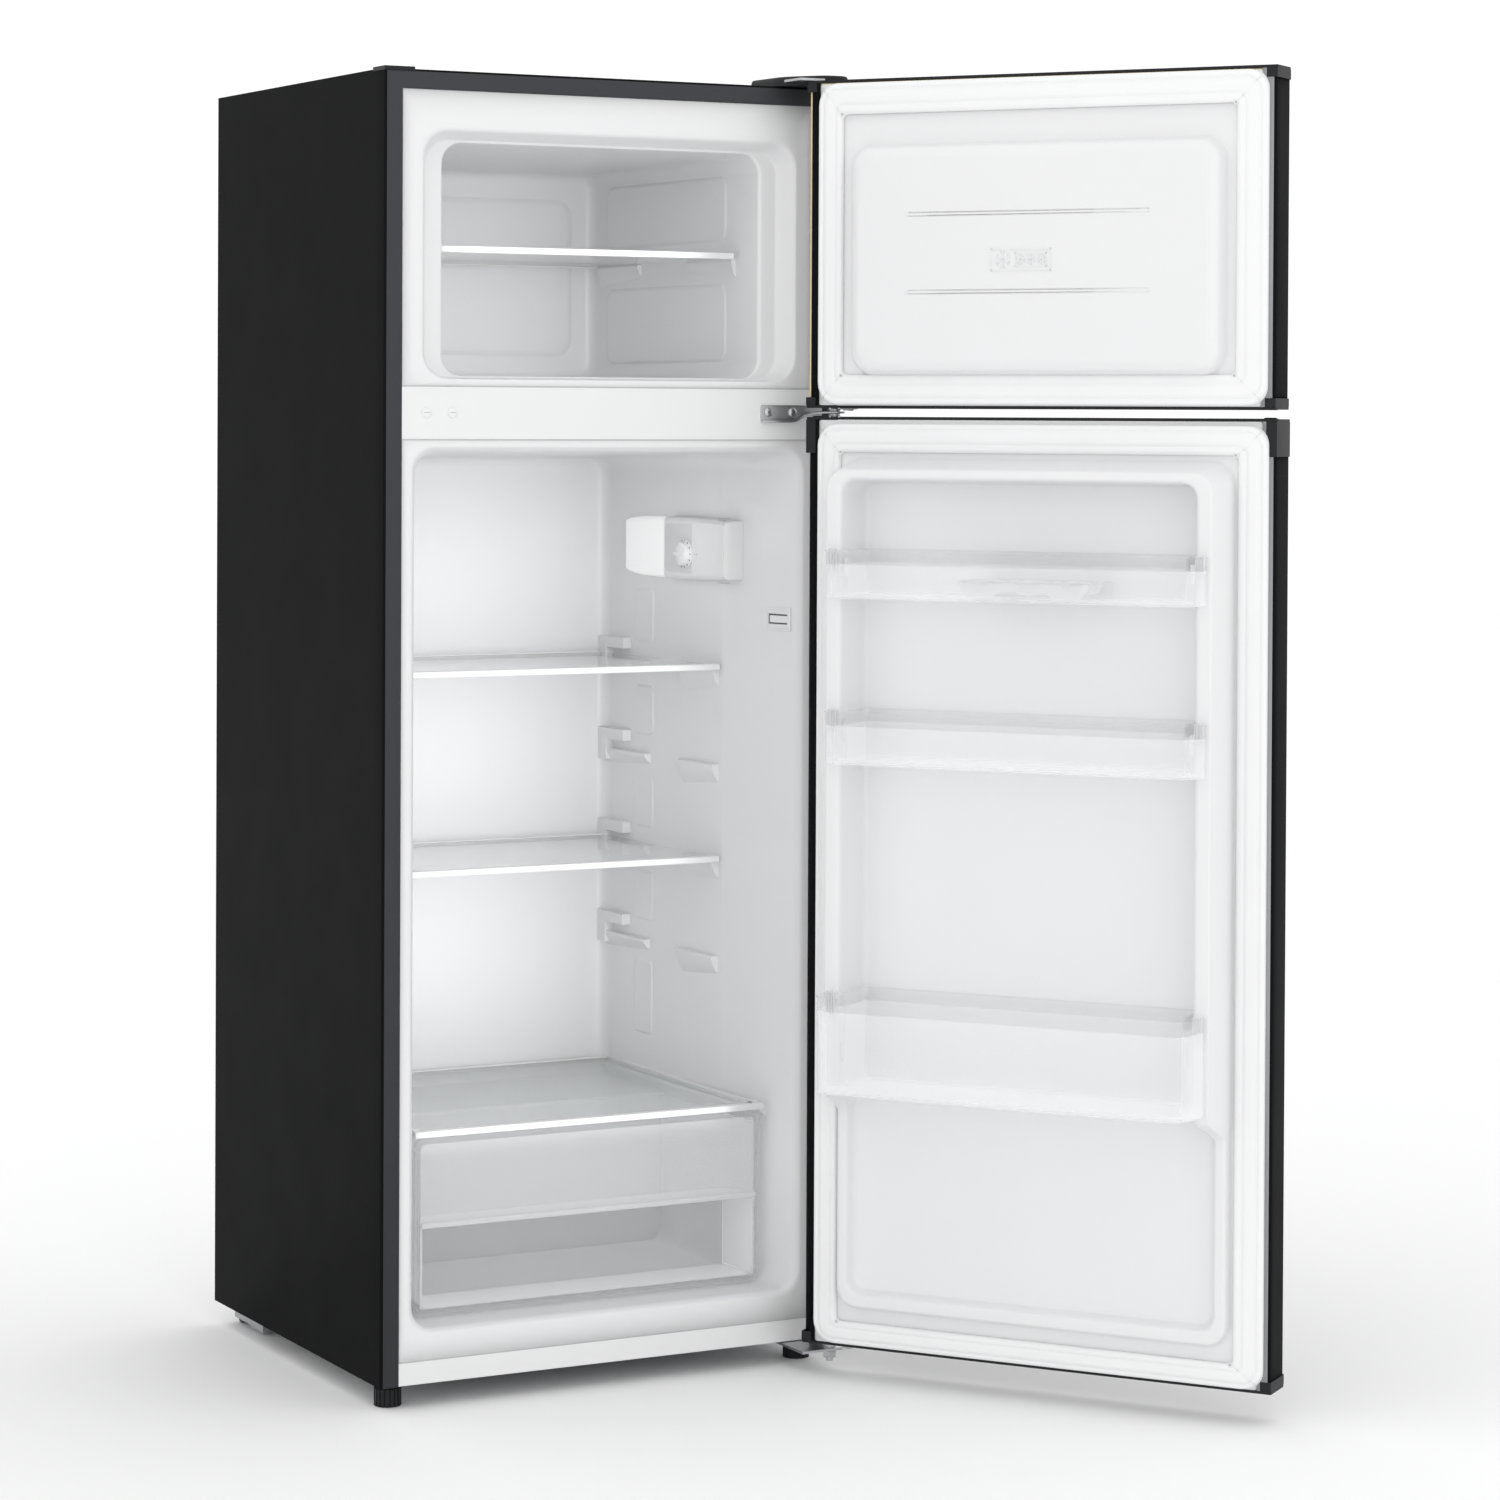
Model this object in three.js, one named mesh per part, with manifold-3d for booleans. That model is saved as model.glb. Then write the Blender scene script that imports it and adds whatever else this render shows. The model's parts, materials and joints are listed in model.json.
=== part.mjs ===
// Top freezer refrigerator: cabinet, two doors hung on three pins, shelves, bins, crisper,
// control box, compressor and feet. Millimetres, +Z up, +Y towards the wall behind it.
// Doors are built closed and then turned open about their common hinge axis.
import * as THREE from 'three';
import { mergeVertices } from 'three/addons/utils/BufferGeometryUtils.js';
import Module from 'manifold-3d';

const wasm = await Module();
wasm.setup();

// ---- driving dimensions ---------------------------------------------------------------
const HALF_WIDTH = 272.5;       // cabinet and doors, 545 wide
const FRONT = -248;             // front plane of the cabinet
const BACK = 248;               // rear plane of the cabinet
const CASE_BOTTOM = 25;         // stands on 25 mm of feet and rollers
const CASE_TOP = 1439;
const SHEET = 1;                // steel sheet of the case and the door skins
const LINER = 2;                // thermoformed liner wall
const FLANGE = 20;              // steel flange round the front of the cabinet
const GAP = 0.3;                // clearance between pieces that touch
const DOOR_GAP = 8;             // cabinet front to door, filled by the gasket
const DOOR_THICK = 46;
const DOOR_INNER = FRONT - DOOR_GAP;
const DOOR_OUTER = DOOR_INNER - DOOR_THICK;
const HINGE_X = 255.5;          // common vertical axis of all hinge pins
const HINGE_Y = FRONT - 42;
const PIN_R = 4;
const PIN_BORE = 4.4;
const FREEZER_OPEN = 125.5;     // degrees, doors stand open at rest
const FRIDGE_OPEN = 126;
const MULLION_LOW = 1043;       // cover strip between the two compartments
const MULLION_HIGH = 1100;
const KICK_TOP = 50;
const CAP = 3;                  // thickness of the door end caps
const NICHE_FRONT = 57;         // compressor compartment, low at the rear
const NICHE_TOP = 235;
const FREEZER_DOOR = { low: 1079, high: 1443, skirtLow: 12, skirtHigh: 13 };
const FRIDGE_DOOR = { low: 35, high: 1069, skirtLow: 13, skirtHigh: 40 };
const SHELF_LEVELS = [778, 667, 556, 445];   // undersides of the glass at the four wall levels
const GLASS = 4;
const SHELF_FRONT = -108;
const SHELF_BACK = 180;
const CRISPER_TOP = 284;        // underside of the crisper cover glass
const ROLLER_R = 9.5;
const FOOT = { x: 251.8, y: -218, r: 15, top: 19 };
const SWITCH = { front: -235, back: -192, low: 827, high: 852, border: 6 };   // door light switch plate
const FREEZER_SHELF = 1249;     // underside of the freezer shelf's glass

// ---- colours --------------------------------------------------------------------------
const finish = (color, roughness, metalness = 0) =>
  new THREE.MeshStandardMaterial({ color, roughness, metalness });
const FINISH = {
  charcoal: finish(0x252628, 0.38, 0.3),
  white: finish(0xeeeeee, 0.35),
  gasket: finish(0xf4f4f5, 0.6),
  black: finish(0x1d1e20, 0.5),
  steel: finish(0x9a9c9f, 0.35, 1),
  foam: finish(0xe8ddb4, 0.9),
  clear: finish(0xdfe6ea, 0.1),
  copper: finish(0xb06a3c, 0.35, 1),
  aluminium: finish(0xb8bbbd, 0.4, 1),
  galvanised: finish(0x8d9093, 0.5, 0.8),
  grey: finish(0xc4c5c6, 0.5),
};

// ---- geometry helpers -----------------------------------------------------------------
function box(x0, x1, y0, y1, z0, z1) {
  const geometry = new THREE.BoxGeometry(x1 - x0, y1 - y0, z1 - z0);
  geometry.translate((x0 + x1) / 2, (y0 + y1) / 2, (z0 + z1) / 2);
  return geometry;
}

const symmetricBox = (halfWidth, y0, y1, z0, z1) => box(-halfWidth, halfWidth, y0, y1, z0, z1);

/** Upright cylinder. */
function post(x, y, r, z0, z1, sides = 16) {
  const geometry = new THREE.CylinderGeometry(r, r, z1 - z0, sides);
  geometry.rotateX(Math.PI / 2);
  geometry.translate(x, y, (z0 + z1) / 2);
  return geometry;
}

/** Cylinder lying along X. */
function axle(x0, x1, y, z, r, sides = 16) {
  const geometry = new THREE.CylinderGeometry(r, r, x1 - x0, sides);
  geometry.rotateZ(Math.PI / 2);
  geometry.translate((x0 + x1) / 2, y, z);
  return geometry;
}

/** Cylinder lying along Y. */
function stud(x, y0, y1, z, r, sides = 12) {
  const geometry = new THREE.CylinderGeometry(r, r, y1 - y0, sides);
  geometry.translate(x, (y0 + y1) / 2, z);
  return geometry;
}

/** Plan outline extruded upwards. */
function upright(shape, z0, z1) {
  const options = { depth: z1 - z0, bevelEnabled: false, curveSegments: 4 };
  const geometry = new THREE.ExtrudeGeometry(shape, options);
  geometry.translate(0, 0, z0);
  return geometry;
}

function outline(points) {
  return new THREE.Shape(points.map(([x, y]) => new THREE.Vector2(x, y)));
}

/** Corner points of one rounded rectangle in the plane Y = y. */
function roundedSection({ y, hw, low, high, r }, steps) {
  const corners = [[hw - r, high - r], [-hw + r, high - r], [-hw + r, low + r], [hw - r, low + r]];
  const points = [];
  corners.forEach(([cx, cz], quarter) => {
    for (let i = 0; i <= steps; i += 1) {
      const angle = (quarter + i / steps) * Math.PI / 2;
      points.push([cx + r * Math.cos(angle), y, cz + r * Math.sin(angle)]);
    }
  });
  return points;
}

/** Closed body through rounded rectangles at rising Y, each grown outwards by grow. */
function loft(stations, grow = 0, steps = 4) {
  const rings = stations.map((s) => roundedSection(
    { y: s.y, hw: s.hw + grow, low: s.low - grow, high: s.high + grow, r: s.r + Math.max(grow, 0) }, steps));
  const count = rings[0].length;
  const index = [];
  for (let k = 0; k < rings.length - 1; k += 1) {
    for (let i = 0; i < count; i += 1) {
      const a = k * count + i;
      const b = k * count + (i + 1) % count;
      index.push(a, b, b + count, a, b + count, a + count);
    }
  }
  const last = (rings.length - 1) * count;
  for (let i = 1; i < count - 1; i += 1) {
    index.push(0, i + 1, i);
    index.push(last, last + i, last + i + 1);
  }
  const geometry = new THREE.BufferGeometry();
  geometry.setAttribute('position', new THREE.Float32BufferAttribute(rings.flat(2), 3));
  geometry.setIndex(index);
  return geometry;
}

// ---- booleans -------------------------------------------------------------------------
function solid(geometry) {
  if (!(geometry instanceof THREE.BufferGeometry)) return geometry;
  const plain = geometry.clone();
  plain.deleteAttribute('normal');
  plain.deleteAttribute('uv');
  const merged = mergeVertices(plain, 1e-4);
  const vertProperties = new Float32Array(merged.attributes.position.array);
  const triVerts = new Uint32Array(merged.index.array);
  const build = (triangles) => new wasm.Manifold(
    new wasm.Mesh({ numProp: 3, vertProperties, triVerts: triangles }));
  const body = build(triVerts);
  return body.volume() < 0 ? build(triVerts.reverse()) : body;
}

const join = (...pieces) => pieces.map(solid).reduce((a, b) => a.add(b));
const cut = (piece, ...tools) => tools.map(solid).reduce((a, b) => a.subtract(b), solid(piece));
const common = (a, b) => solid(a).intersect(solid(b));

const model = new THREE.Group();

function add(name, piece, material, parent = model) {
  const { numProp, vertProperties, triVerts } = solid(piece).getMesh();
  const positions = [];
  for (let i = 0; i < vertProperties.length; i += numProp) {
    positions.push(vertProperties[i], vertProperties[i + 1], vertProperties[i + 2]);
  }
  const geometry = new THREE.BufferGeometry();
  geometry.setAttribute('position', new THREE.Float32BufferAttribute(positions, 3));
  geometry.setIndex(Array.from(triVerts));
  geometry.computeVertexNormals();
  const mesh = new THREE.Mesh(geometry, material);
  mesh.name = name;
  parent.add(mesh);
  return mesh;
}

// ---- the two compartments -------------------------------------------------------------
/** Inside of the freezer compartment: a stepped mouth that takes the door's plug, then the box. */
const freezerCavity = (grow = 0) => loft([
  { y: FRONT - 1, hw: 227, low: 1108.5, high: 1375.5, r: 30 },
  { y: FRONT + 26, hw: 215, low: 1110.5, high: 1366.5, r: 26 },
  { y: FRONT + 28, hw: 194, low: 1112, high: 1364, r: 22 },
  { y: 190 + Math.max(grow, 0), hw: 187, low: 1113, high: 1360, r: 18 },
], grow);

const HUMP = { front: 26, top: 268 };   // the liner steps forward and up over the compressor

/** Inside of the fridge compartment: full depth above the compressor hump, shorter below it. */
function fridgeCavity(grow = 0) {
  const reach = Math.max(grow, 0);
  const whole = loft([
    { y: FRONT - 1, hw: 239, low: 80, high: 1034, r: 26 },
    { y: FRONT + 8, hw: 233.5, low: 83, high: 1029, r: 24 },
    { y: -109, hw: 210.5, low: 84, high: 1026, r: 22 },
    { y: 190 + reach, hw: 206.5, low: 85, high: 1020, r: 20 },
  ], grow);
  return cut(whole, symmetricBox(HALF_WIDTH, HUMP.front + grow, BACK, 0, HUMP.top - grow));
}

const linerFront = (low, high) => symmetricBox(
  HALF_WIDTH - FLANGE - GAP, FRONT + GAP, FRONT + GAP + LINER, low, high);
const behindFront = symmetricBox(HALF_WIDTH, FRONT + GAP + LINER / 2, BACK, 0, CASE_TOP);

/** A wall shelf support on both side walls, kept inside the liner's own thickness. */
function supports(y0, y1, low, high, innerX, cavityGrown) {
  const right = common(box(innerX, HALF_WIDTH, y0, y1, low, high), cavityGrown);
  const left = common(box(-HALF_WIDTH, -innerX, y0, y1, low, high), cavityGrown);
  return right.add(left);
}

/** Block through the right wall at the light switch, drawn in by inset from the plate's outline. */
const switchBox = (inset) => box(
  210, 245, SWITCH.front + inset, SWITCH.back - inset, SWITCH.low + inset, SWITCH.high - inset);

function buildLiners() {
  const sheet = (cavity, low, high) => cut(
    join(common(cavity(LINER), behindFront), linerFront(low, high)), cavity());
  const freezer = join(
    sheet(freezerCavity, MULLION_HIGH + GAP, CASE_TOP - FLANGE - GAP),
    supports(-150, 150, FREEZER_SHELF - 14, FREEZER_SHELF - GAP, 181, freezerCavity(1)),
  );
  add('freezer_liner', freezer, FINISH.white);

  const fridgeGrown = fridgeCavity(1);
  const ribs = SHELF_LEVELS.flatMap((level) => [
    supports(SHELF_FRONT + 7, -16, level - 12, level - GAP, 199, fridgeGrown),
    supports(68, 185, level - 12, level - GAP, 199, fridgeGrown),
    supports(184, 192, level - 12, level + 24, 199, fridgeGrown),
  ]);
  const switchHole = switchBox(SWITCH.border - GAP);
  const coverRail = supports(-192, 185, CRISPER_TOP - 12, CRISPER_TOP - GAP, 200, fridgeGrown);
  const fridge = join(sheet(fridgeCavity, KICK_TOP + GAP, MULLION_LOW - GAP), coverRail, ...ribs);
  add('fridge_liner', cut(fridge, switchHole), FINISH.white);
}

function buildCase() {
  const opening = HALF_WIDTH - FLANGE;
  const outer = symmetricBox(HALF_WIDTH, FRONT, BACK, CASE_BOTTOM, CASE_TOP);
  const inside = symmetricBox(HALF_WIDTH - SHEET, FRONT + SHEET, BACK + 1, CASE_BOTTOM - 1, CASE_TOP - SHEET);
  const mouth = symmetricBox(opening, FRONT - 1, FRONT + 2, CASE_BOTTOM - 1, CASE_TOP - FLANGE);
  add('outer_case', cut(outer, inside, mouth), FINISH.charcoal);

  const inner = HALF_WIDTH - SHEET - GAP;
  const panel = symmetricBox(inner, BACK - 1.5, BACK - 0.5, NICHE_TOP + 2, CASE_TOP - SHEET - GAP);
  add('rear_panel', panel, FINISH.galvanised);

  const base = join(
    symmetricBox(inner, FRONT + 3, NICHE_FRONT + 1, CASE_BOTTOM + 0.5, CASE_BOTTOM + 1.5),
    symmetricBox(inner, NICHE_FRONT, NICHE_FRONT + 1, CASE_BOTTOM + 0.5, NICHE_TOP + 1),
    symmetricBox(inner, NICHE_FRONT, BACK - 2, NICHE_TOP, NICHE_TOP + 1),
  );
  const footHoles = [-1, 1].map((side) => post(side * FOOT.x, FOOT.y, 6, 20, 30));
  add('base_panel', cut(base, ...footHoles), FINISH.galvanised);

  const strip = HALF_WIDTH - FLANGE - GAP;
  const facing = (low, high) => symmetricBox(strip, FRONT + GAP, FRONT + GAP + LINER, low, high);
  add('mullion_cover', facing(MULLION_LOW, MULLION_HIGH), FINISH.white);
  add('kick_strip', facing(CASE_BOTTOM + GAP, KICK_TOP), FINISH.white);
  add('corner_cap', cut(
    box(-HALF_WIDTH - 1.5, -HALF_WIDTH + 34, FRONT - 1.5, FRONT + 30, CASE_TOP - 1.5, CASE_TOP + 3),
    box(-HALF_WIDTH - GAP, -HALF_WIDTH + 40, FRONT - GAP, FRONT + 40, CASE_TOP - 10, CASE_TOP + GAP),
  ), FINISH.black);
}

// ---- refrigeration parts --------------------------------------------------------------
const EVAPORATOR = { y: 192.6, thick: 1.6 };

/** Roll-bond plate behind the freezer, a tube down, and a cold plate behind the fridge wall. */
function evaporatorSolid(grow = 0) {
  const y0 = EVAPORATOR.y - grow;
  const y1 = EVAPORATOR.y + EVAPORATOR.thick + grow;
  return join(
    symmetricBox(150 + grow, y0, y1, 1135 - grow, 1335 + grow),
    symmetricBox(120 + grow, y0, y1, 640 - grow, 960 + grow),
    box(84 - grow, 92 + grow, y0, y1 + 4, 900, 1200),
  );
}

const CONDENSER = { x: -(HALF_WIDTH - 4.6), r: 2.5, y0: -150, passes: 7, pitch: 52, low: 330, high: 1300 };

/** Serpentine hot tube against the left side sheet. */
function condenserCoil() {
  const points = [];
  const bend = CONDENSER.pitch / 2;
  for (let pass = 0; pass < CONDENSER.passes; pass += 1) {
    const y = CONDENSER.y0 + pass * CONDENSER.pitch;
    const up = pass % 2 === 0;
    const ends = [CONDENSER.low, CONDENSER.high];
    const [start, end] = up ? ends : ends.reverse();
    points.push([y, start], [y, (start + end) / 2], [y, end]);
    if (pass < CONDENSER.passes - 1) {
      points.push([y + bend, end + (up ? bend : -bend)]);
    }
  }
  const curve = new THREE.CatmullRomCurve3(
    points.map(([y, z]) => new THREE.Vector3(CONDENSER.x, y, z)), false, 'centripetal');
  const ring = new THREE.Shape(new THREE.Path().absarc(0, 0, CONDENSER.r, 0, 2 * Math.PI).getPoints(3));
  return new THREE.ExtrudeGeometry(ring, { steps: 110, extrudePath: curve, bevelEnabled: false });
}

function insulation() {
  const inner = HALF_WIDTH - SHEET - GAP;
  const front = FRONT + GAP + LINER + GAP;
  const block = join(
    symmetricBox(inner, front, NICHE_FRONT - GAP, CASE_BOTTOM + 2, CASE_TOP - SHEET - GAP),
    symmetricBox(inner, front, BACK - 2, NICHE_TOP + 1 + GAP, CASE_TOP - SHEET - GAP),
  );
  const reach = LINER + GAP;
  const coil = CONDENSER;
  const coilPocket = box(-HALF_WIDTH, coil.x + 4, coil.y0 - 20, coil.y0 + 340, coil.low - 40, coil.high + 50);
  const footPockets = [-1, 1].map((side) => post(side * FOOT.x, FOOT.y, 7, 20, 50));
  const hingePocket = box(180, 238, front - 1, front + 12, 1062, 1084);
  const pockets = [evaporatorSolid(GAP), coilPocket, ...footPockets, hingePocket];
  return cut(block, freezerCavity(reach), fridgeCavity(reach), ...pockets);
}

function compressorSolid() {
  const cx = 70;
  const cy = 160;
  const shell = (r, low, high) => {
    const curve = 30;
    const profile = [new THREE.Vector2(0, low)];
    const quarter = (cz, from) => [0, 1, 2, 3].forEach((i) => {
      const angle = from + (i / 3) * Math.PI / 2;
      profile.push(new THREE.Vector2(r - curve + curve * Math.cos(angle), cz + curve * Math.sin(angle)));
    });
    quarter(low + curve, -Math.PI / 2);
    quarter(high - curve, 0);
    profile.push(new THREE.Vector2(0, high));
    const lathe = new THREE.LatheGeometry(profile, 20);
    lathe.rotateX(Math.PI / 2);
    lathe.translate(cx, cy, 0);
    return lathe;
  };
  const grommets = [[-1, -1], [1, -1], [-1, 1], [1, 1]].map(
    ([sx, sy]) => post(cx + sx * 85, cy + sy * 40, 9, 30.3, 40, 10));
  const feet = box(cx - 98, cx + 98, cy - 52, cy + 52, 38, 41);
  const relay = box(cx + 70, cx + 100, cy - 30, cy + 30, 70, 130);
  const suction = post(cx - 50, cy, 5, 150, 186, 8);
  const body = join(shell(76, 39, 176), feet, relay, suction, ...grommets);
  return cut(body, shell(66, 49, 166), post(cx, cy, 6, 20, 60, 8));
}

function rearBracket(side) {
  const x = side * 240;
  const cheeks = [-1, 1].map((k) => box(x + k * 10 - 1.2, x + k * 10 + 1.2, 190, 240, 5, 30));
  const pin = axle(x - 11, x + 11, 228, ROLLER_R, 2.5, 12);
  const pad = box(x - 11.2, x + 11.2, 150, 192, 3, 30);
  return join(...cheeks, pin, pad);
}

function buildMachinery() {
  add('cabinet_insulation', insulation(), FINISH.foam);
  add('condenser_coil', condenserCoil(), FINISH.copper);
  add('evaporator', evaporatorSolid(), FINISH.aluminium);
  add('compressor', compressorSolid(), FINISH.black);
  const inner = HALF_WIDTH - SHEET - GAP;
  const tray = join(
    symmetricBox(inner, 90, 240, 28, 30),
    symmetricBox(inner, 90, 92, 28, 42),
    symmetricBox(inner, 238, 240, 28, 42),
    rearBracket(-1),
    rearBracket(1),
  );
  add('compressor_tray', tray, FINISH.galvanised);
  add('drip_tray', cut(box(10, 140, 105, 225, 190, 222), box(12, 138, 107, 223, 192, 230)), FINISH.black);
  const gland = join(box(-200, -150, 236, 241.5, 44, 84), stud(-175, 241, 250, 64, 8));
  add('cord_gland', cut(gland, stud(-175, 230, 260, 64, 4)), FINISH.black);
}

// ---- hinges ---------------------------------------------------------------------------
const hingePost = (r, z0, z1) => post(HINGE_X, HINGE_Y, r, z0, z1);

function buildHinges() {
  const high = FREEZER_DOOR.high;
  const bracket = join(
    box(206, 266, HINGE_Y - 8, -196, high + 0.4, high + 3),
    box(206, 266, FRONT + 2, -196, CASE_TOP + GAP, high + 1),
    hingePost(PIN_R, high - 20, high + 1),
  );
  add('top_hinge', bracket, FINISH.steel);
  const plan = outline([
    [201, -188], [201, -254], [246, HINGE_Y - 13], [262, HINGE_Y - 13], [269, HINGE_Y - 6], [269, -188]]);
  const cover = cut(
    upright(plan, CASE_TOP + GAP, CASE_TOP + 11),
    box(180, 280, -330, FRONT - 2, CASE_TOP - 5, high + 0.4),
    box(204.5, 267.5, HINGE_Y - 9.5, -193.5, CASE_TOP - 5, high + 3.4),
  );
  add('top_hinge_cover', cover, FINISH.black);

  const middle = join(
    box(184, 262, FRONT - 1.7, FRONT, 1064, 1081),
    box(230.5, 266, HINGE_Y - 9, FRONT, 1072.5, 1075.5),
    hingePost(PIN_R, 1055, 1095),
    hingePost(7, 1069.4, 1078.6),
  );
  const screwX = [193, 224];
  const screwHoles = screwX.map((x) => stud(x, FRONT - 5, FRONT + 5, 1074, 2.6));
  add('middle_hinge', cut(middle, ...screwHoles), FINISH.steel);
  screwX.forEach((x, i) => {
    const head = stud(x, FRONT - 4.2, FRONT - 1.7 - GAP, 1074, 5.2);
    const shank = stud(x, FRONT - 4, FRONT - 0.1, 1074, 2.2);
    add(`middle_hinge_screw_${i + 1}`, join(head, shank), FINISH.steel);
  });
  [-223, -192.5].forEach((x, i) => {
    add(`hinge_hole_plug_${i + 1}`, stud(x, FRONT - 1.6, FRONT, 1072, 5.5, 16), FINISH.white);
  });

  const bottom = join(
    box(216, 267, HINGE_Y - 9, -200, 21.8, 24.7),
    hingePost(PIN_R, 20, 55),
    hingePost(7, 22, FRIDGE_DOOR.low - 0.4),
    post(HINGE_X, HINGE_Y, 6.5, 13, 22, 6),
  );
  add('bottom_hinge', cut(bottom, post(FOOT.x, FOOT.y, 6, 15, 30)), FINISH.steel);
}

// ---- doors ----------------------------------------------------------------------------
function doorGroup(angle) {
  const hinge = new THREE.Group();
  hinge.position.set(HINGE_X, HINGE_Y, 0);
  hinge.rotation.z = THREE.MathUtils.degToRad(angle);
  const closed = new THREE.Group();
  closed.position.set(-HINGE_X, -HINGE_Y, 0);
  hinge.add(closed);
  model.add(hinge);
  return closed;
}

/** Sheet folded round the front and both edges, with a return behind the gasket. */
function skinOutline() {
  const r = 6;
  const loop = (inset, back) => {
    const x = HALF_WIDTH - inset;
    const y = DOOR_OUTER + inset;
    const radius = r - inset;
    const arc = (cx, from) => [0, 1, 2, 3].map((i) => {
      const a = from + (i / 3) * Math.PI / 2;
      return [cx + radius * Math.cos(a), y + radius + radius * Math.sin(a)];
    });
    return [[-x, back], ...arc(-x + radius, Math.PI), ...arc(x - radius, 1.5 * Math.PI), [x, back]];
  };
  const lip = HALF_WIDTH - 14;
  const inner = loop(SHEET, DOOR_INNER - SHEET).reverse();
  return outline([...loop(0, DOOR_INNER), [lip, DOOR_INNER], [lip, DOOR_INNER - SHEET], ...inner,
    [-lip, DOOR_INNER - SHEET], [-lip, DOOR_INNER]]);
}

/** End cap: a plate over the foam with a skirt round each corner; up is +1 for a top cap. */
function doorCap(z, up, skirt) {
  const side = HALF_WIDTH + 1.8;
  const front = DOOR_OUTER - 1.5;
  const between = (reach) => [Math.min(z, z - up * reach), Math.max(z, z - up * reach)];
  const plate = symmetricBox(side, front, DOOR_INNER, ...between(CAP));
  const skirts = cut(
    symmetricBox(side, front, DOOR_INNER + 1.2, ...between(skirt)),
    symmetricBox(262.4, front - 1, DOOR_INNER + 2, ...between(skirt + 1)),
    symmetricBox(HALF_WIDTH + GAP, DOOR_OUTER - GAP, DOOR_INNER + GAP, ...between(skirt + 1)),
  );
  return cut(join(plate, skirts), hingePost(PIN_BORE, z - 10, z + 10));
}

/** Flat ring of soft seal, bevelled where it meets the cabinet. */
function gasketRing(outer, inner) {
  const { hw, low, high } = outer;
  const body = loft([
    { y: DOOR_INNER + GAP, hw, low, high, r: 14 },
    { y: FRONT - 4, hw, low, high, r: 14 },
    { y: FRONT - 0.6, hw: hw - 5, low: low + 5, high: high - 5, r: 14 },
  ]);
  return cut(body, loft([
    { ...inner, y: DOOR_INNER - 5, r: 4 },
    { ...inner, y: FRONT + 5, r: 4 },
  ]));
}

function buildDoor(name, size, angle, form, foamForm, gasketSizes) {
  const door = doorGroup(angle);
  const low = size.low + CAP + GAP;
  const high = size.high - CAP - GAP;
  add(`${name}_skin`, upright(skinOutline(), low, high), FINISH.charcoal, door);
  const slab = symmetricBox(HALF_WIDTH - 14 - GAP, DOOR_INNER - LINER, DOOR_INNER, low, high);
  add(`${name}_liner`, form(slab), FINISH.white, door);
  const inner = HALF_WIDTH - SHEET - GAP;
  const foam = join(
    symmetricBox(inner - 6, DOOR_OUTER + SHEET + GAP, DOOR_INNER - LINER - GAP, low, high),
    symmetricBox(inner, DOOR_OUTER + 8, DOOR_INNER - LINER - GAP, low, high),
    foamForm,
  );
  const bottomPocket = hingePost(6.5, size.low - 5, size.low + 26);
  const topPocket = hingePost(6.5, size.high - 26, size.high + 5);
  add(`${name}_insulation`, cut(foam, bottomPocket, topPocket), FINISH.foam, door);
  add(`${name}_top_cap`, doorCap(size.high, 1, size.skirtHigh), FINISH.black, door);
  add(`${name}_bottom_cap`, doorCap(size.low, -1, size.skirtLow), FINISH.black, door);
  add(`${name}_gasket`, gasketRing(gasketSizes.outer, gasketSizes.inner), FINISH.gasket, door);
  return door;
}

/** Raised plug of the freezer door; shrink > 0 gives the surface that far inside it. */
const freezerPlug = (shrink) => loft([
  { y: DOOR_INNER - LINER - 1, hw: 214 - shrink, low: 1116 + shrink, high: 1368 - shrink, r: 24 },
  { y: DOOR_INNER, hw: 214 - shrink, low: 1116 + shrink, high: 1368 - shrink, r: 24 },
  { y: DOOR_INNER + 24 - shrink, hw: 206 - shrink, low: 1124 + shrink, high: 1360 - shrink, r: 22 },
]);

const DYKE = { base: 231, crest: 221, inner: 202, depth: 58, low: 302, high: 1022, innerHigh: 1000 };
const RIM = { base: 226, inner: 212, depth: 14, low: 84, high: 1018, width: 15, innerHigh: 1000 };

/** Low rim round the whole fridge door liner and the tall dykes that carry the bins. */
function fridgeDykes(shrink) {
  const back = DOOR_INNER - LINER - 1;
  const ring = (y, hw, low, high, r, out) => ({ y, hw: hw + out, low: low - out, high: high + out, r });
  const outside = (y, hw, low, high, r) => ring(y, hw, low, high, r, -shrink);
  const inside = (y, hw, low, high) => ring(y, hw, low, high, 16, shrink);
  const rimCrest = DOOR_INNER + RIM.depth;
  const rimInside = RIM.low + RIM.width;
  const rim = cut(
    loft([
      outside(back, RIM.base, RIM.low, RIM.high, 22),
      outside(rimCrest - shrink, RIM.base - 2, RIM.low + 2, RIM.high - 2, 20),
    ]),
    loft([
      inside(back - 1, RIM.inner, rimInside, RIM.innerHigh),
      inside(rimCrest + 6, RIM.inner + 1, rimInside - 1, RIM.innerHigh + 1),
    ]),
  );
  const crest = DOOR_INNER + DYKE.depth;
  const tall = cut(
    loft([
      outside(back, DYKE.base, DYKE.low - 6, DYKE.high, 24),
      outside(crest - shrink, DYKE.crest, DYKE.low + 10, DYKE.high - 8, 20),
    ]),
    loft([
      inside(back - 1, DYKE.inner - 2, DYKE.low / 2, DYKE.innerHigh - 6),
      inside(crest + 5, DYKE.inner, DYKE.low / 2, DYKE.innerHigh),
    ]),
  );
  return join(rim, tall);
}

/** Sheet of even thickness: a flat slab with the raised form on it, hollow from behind. */
function shell(form, slab) {
  const raised = common(form(0), symmetricBox(HALF_WIDTH, DOOR_INNER - LINER, 0, 0, CASE_TOP));
  return cut(join(slab, raised), form(LINER));
}

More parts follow.
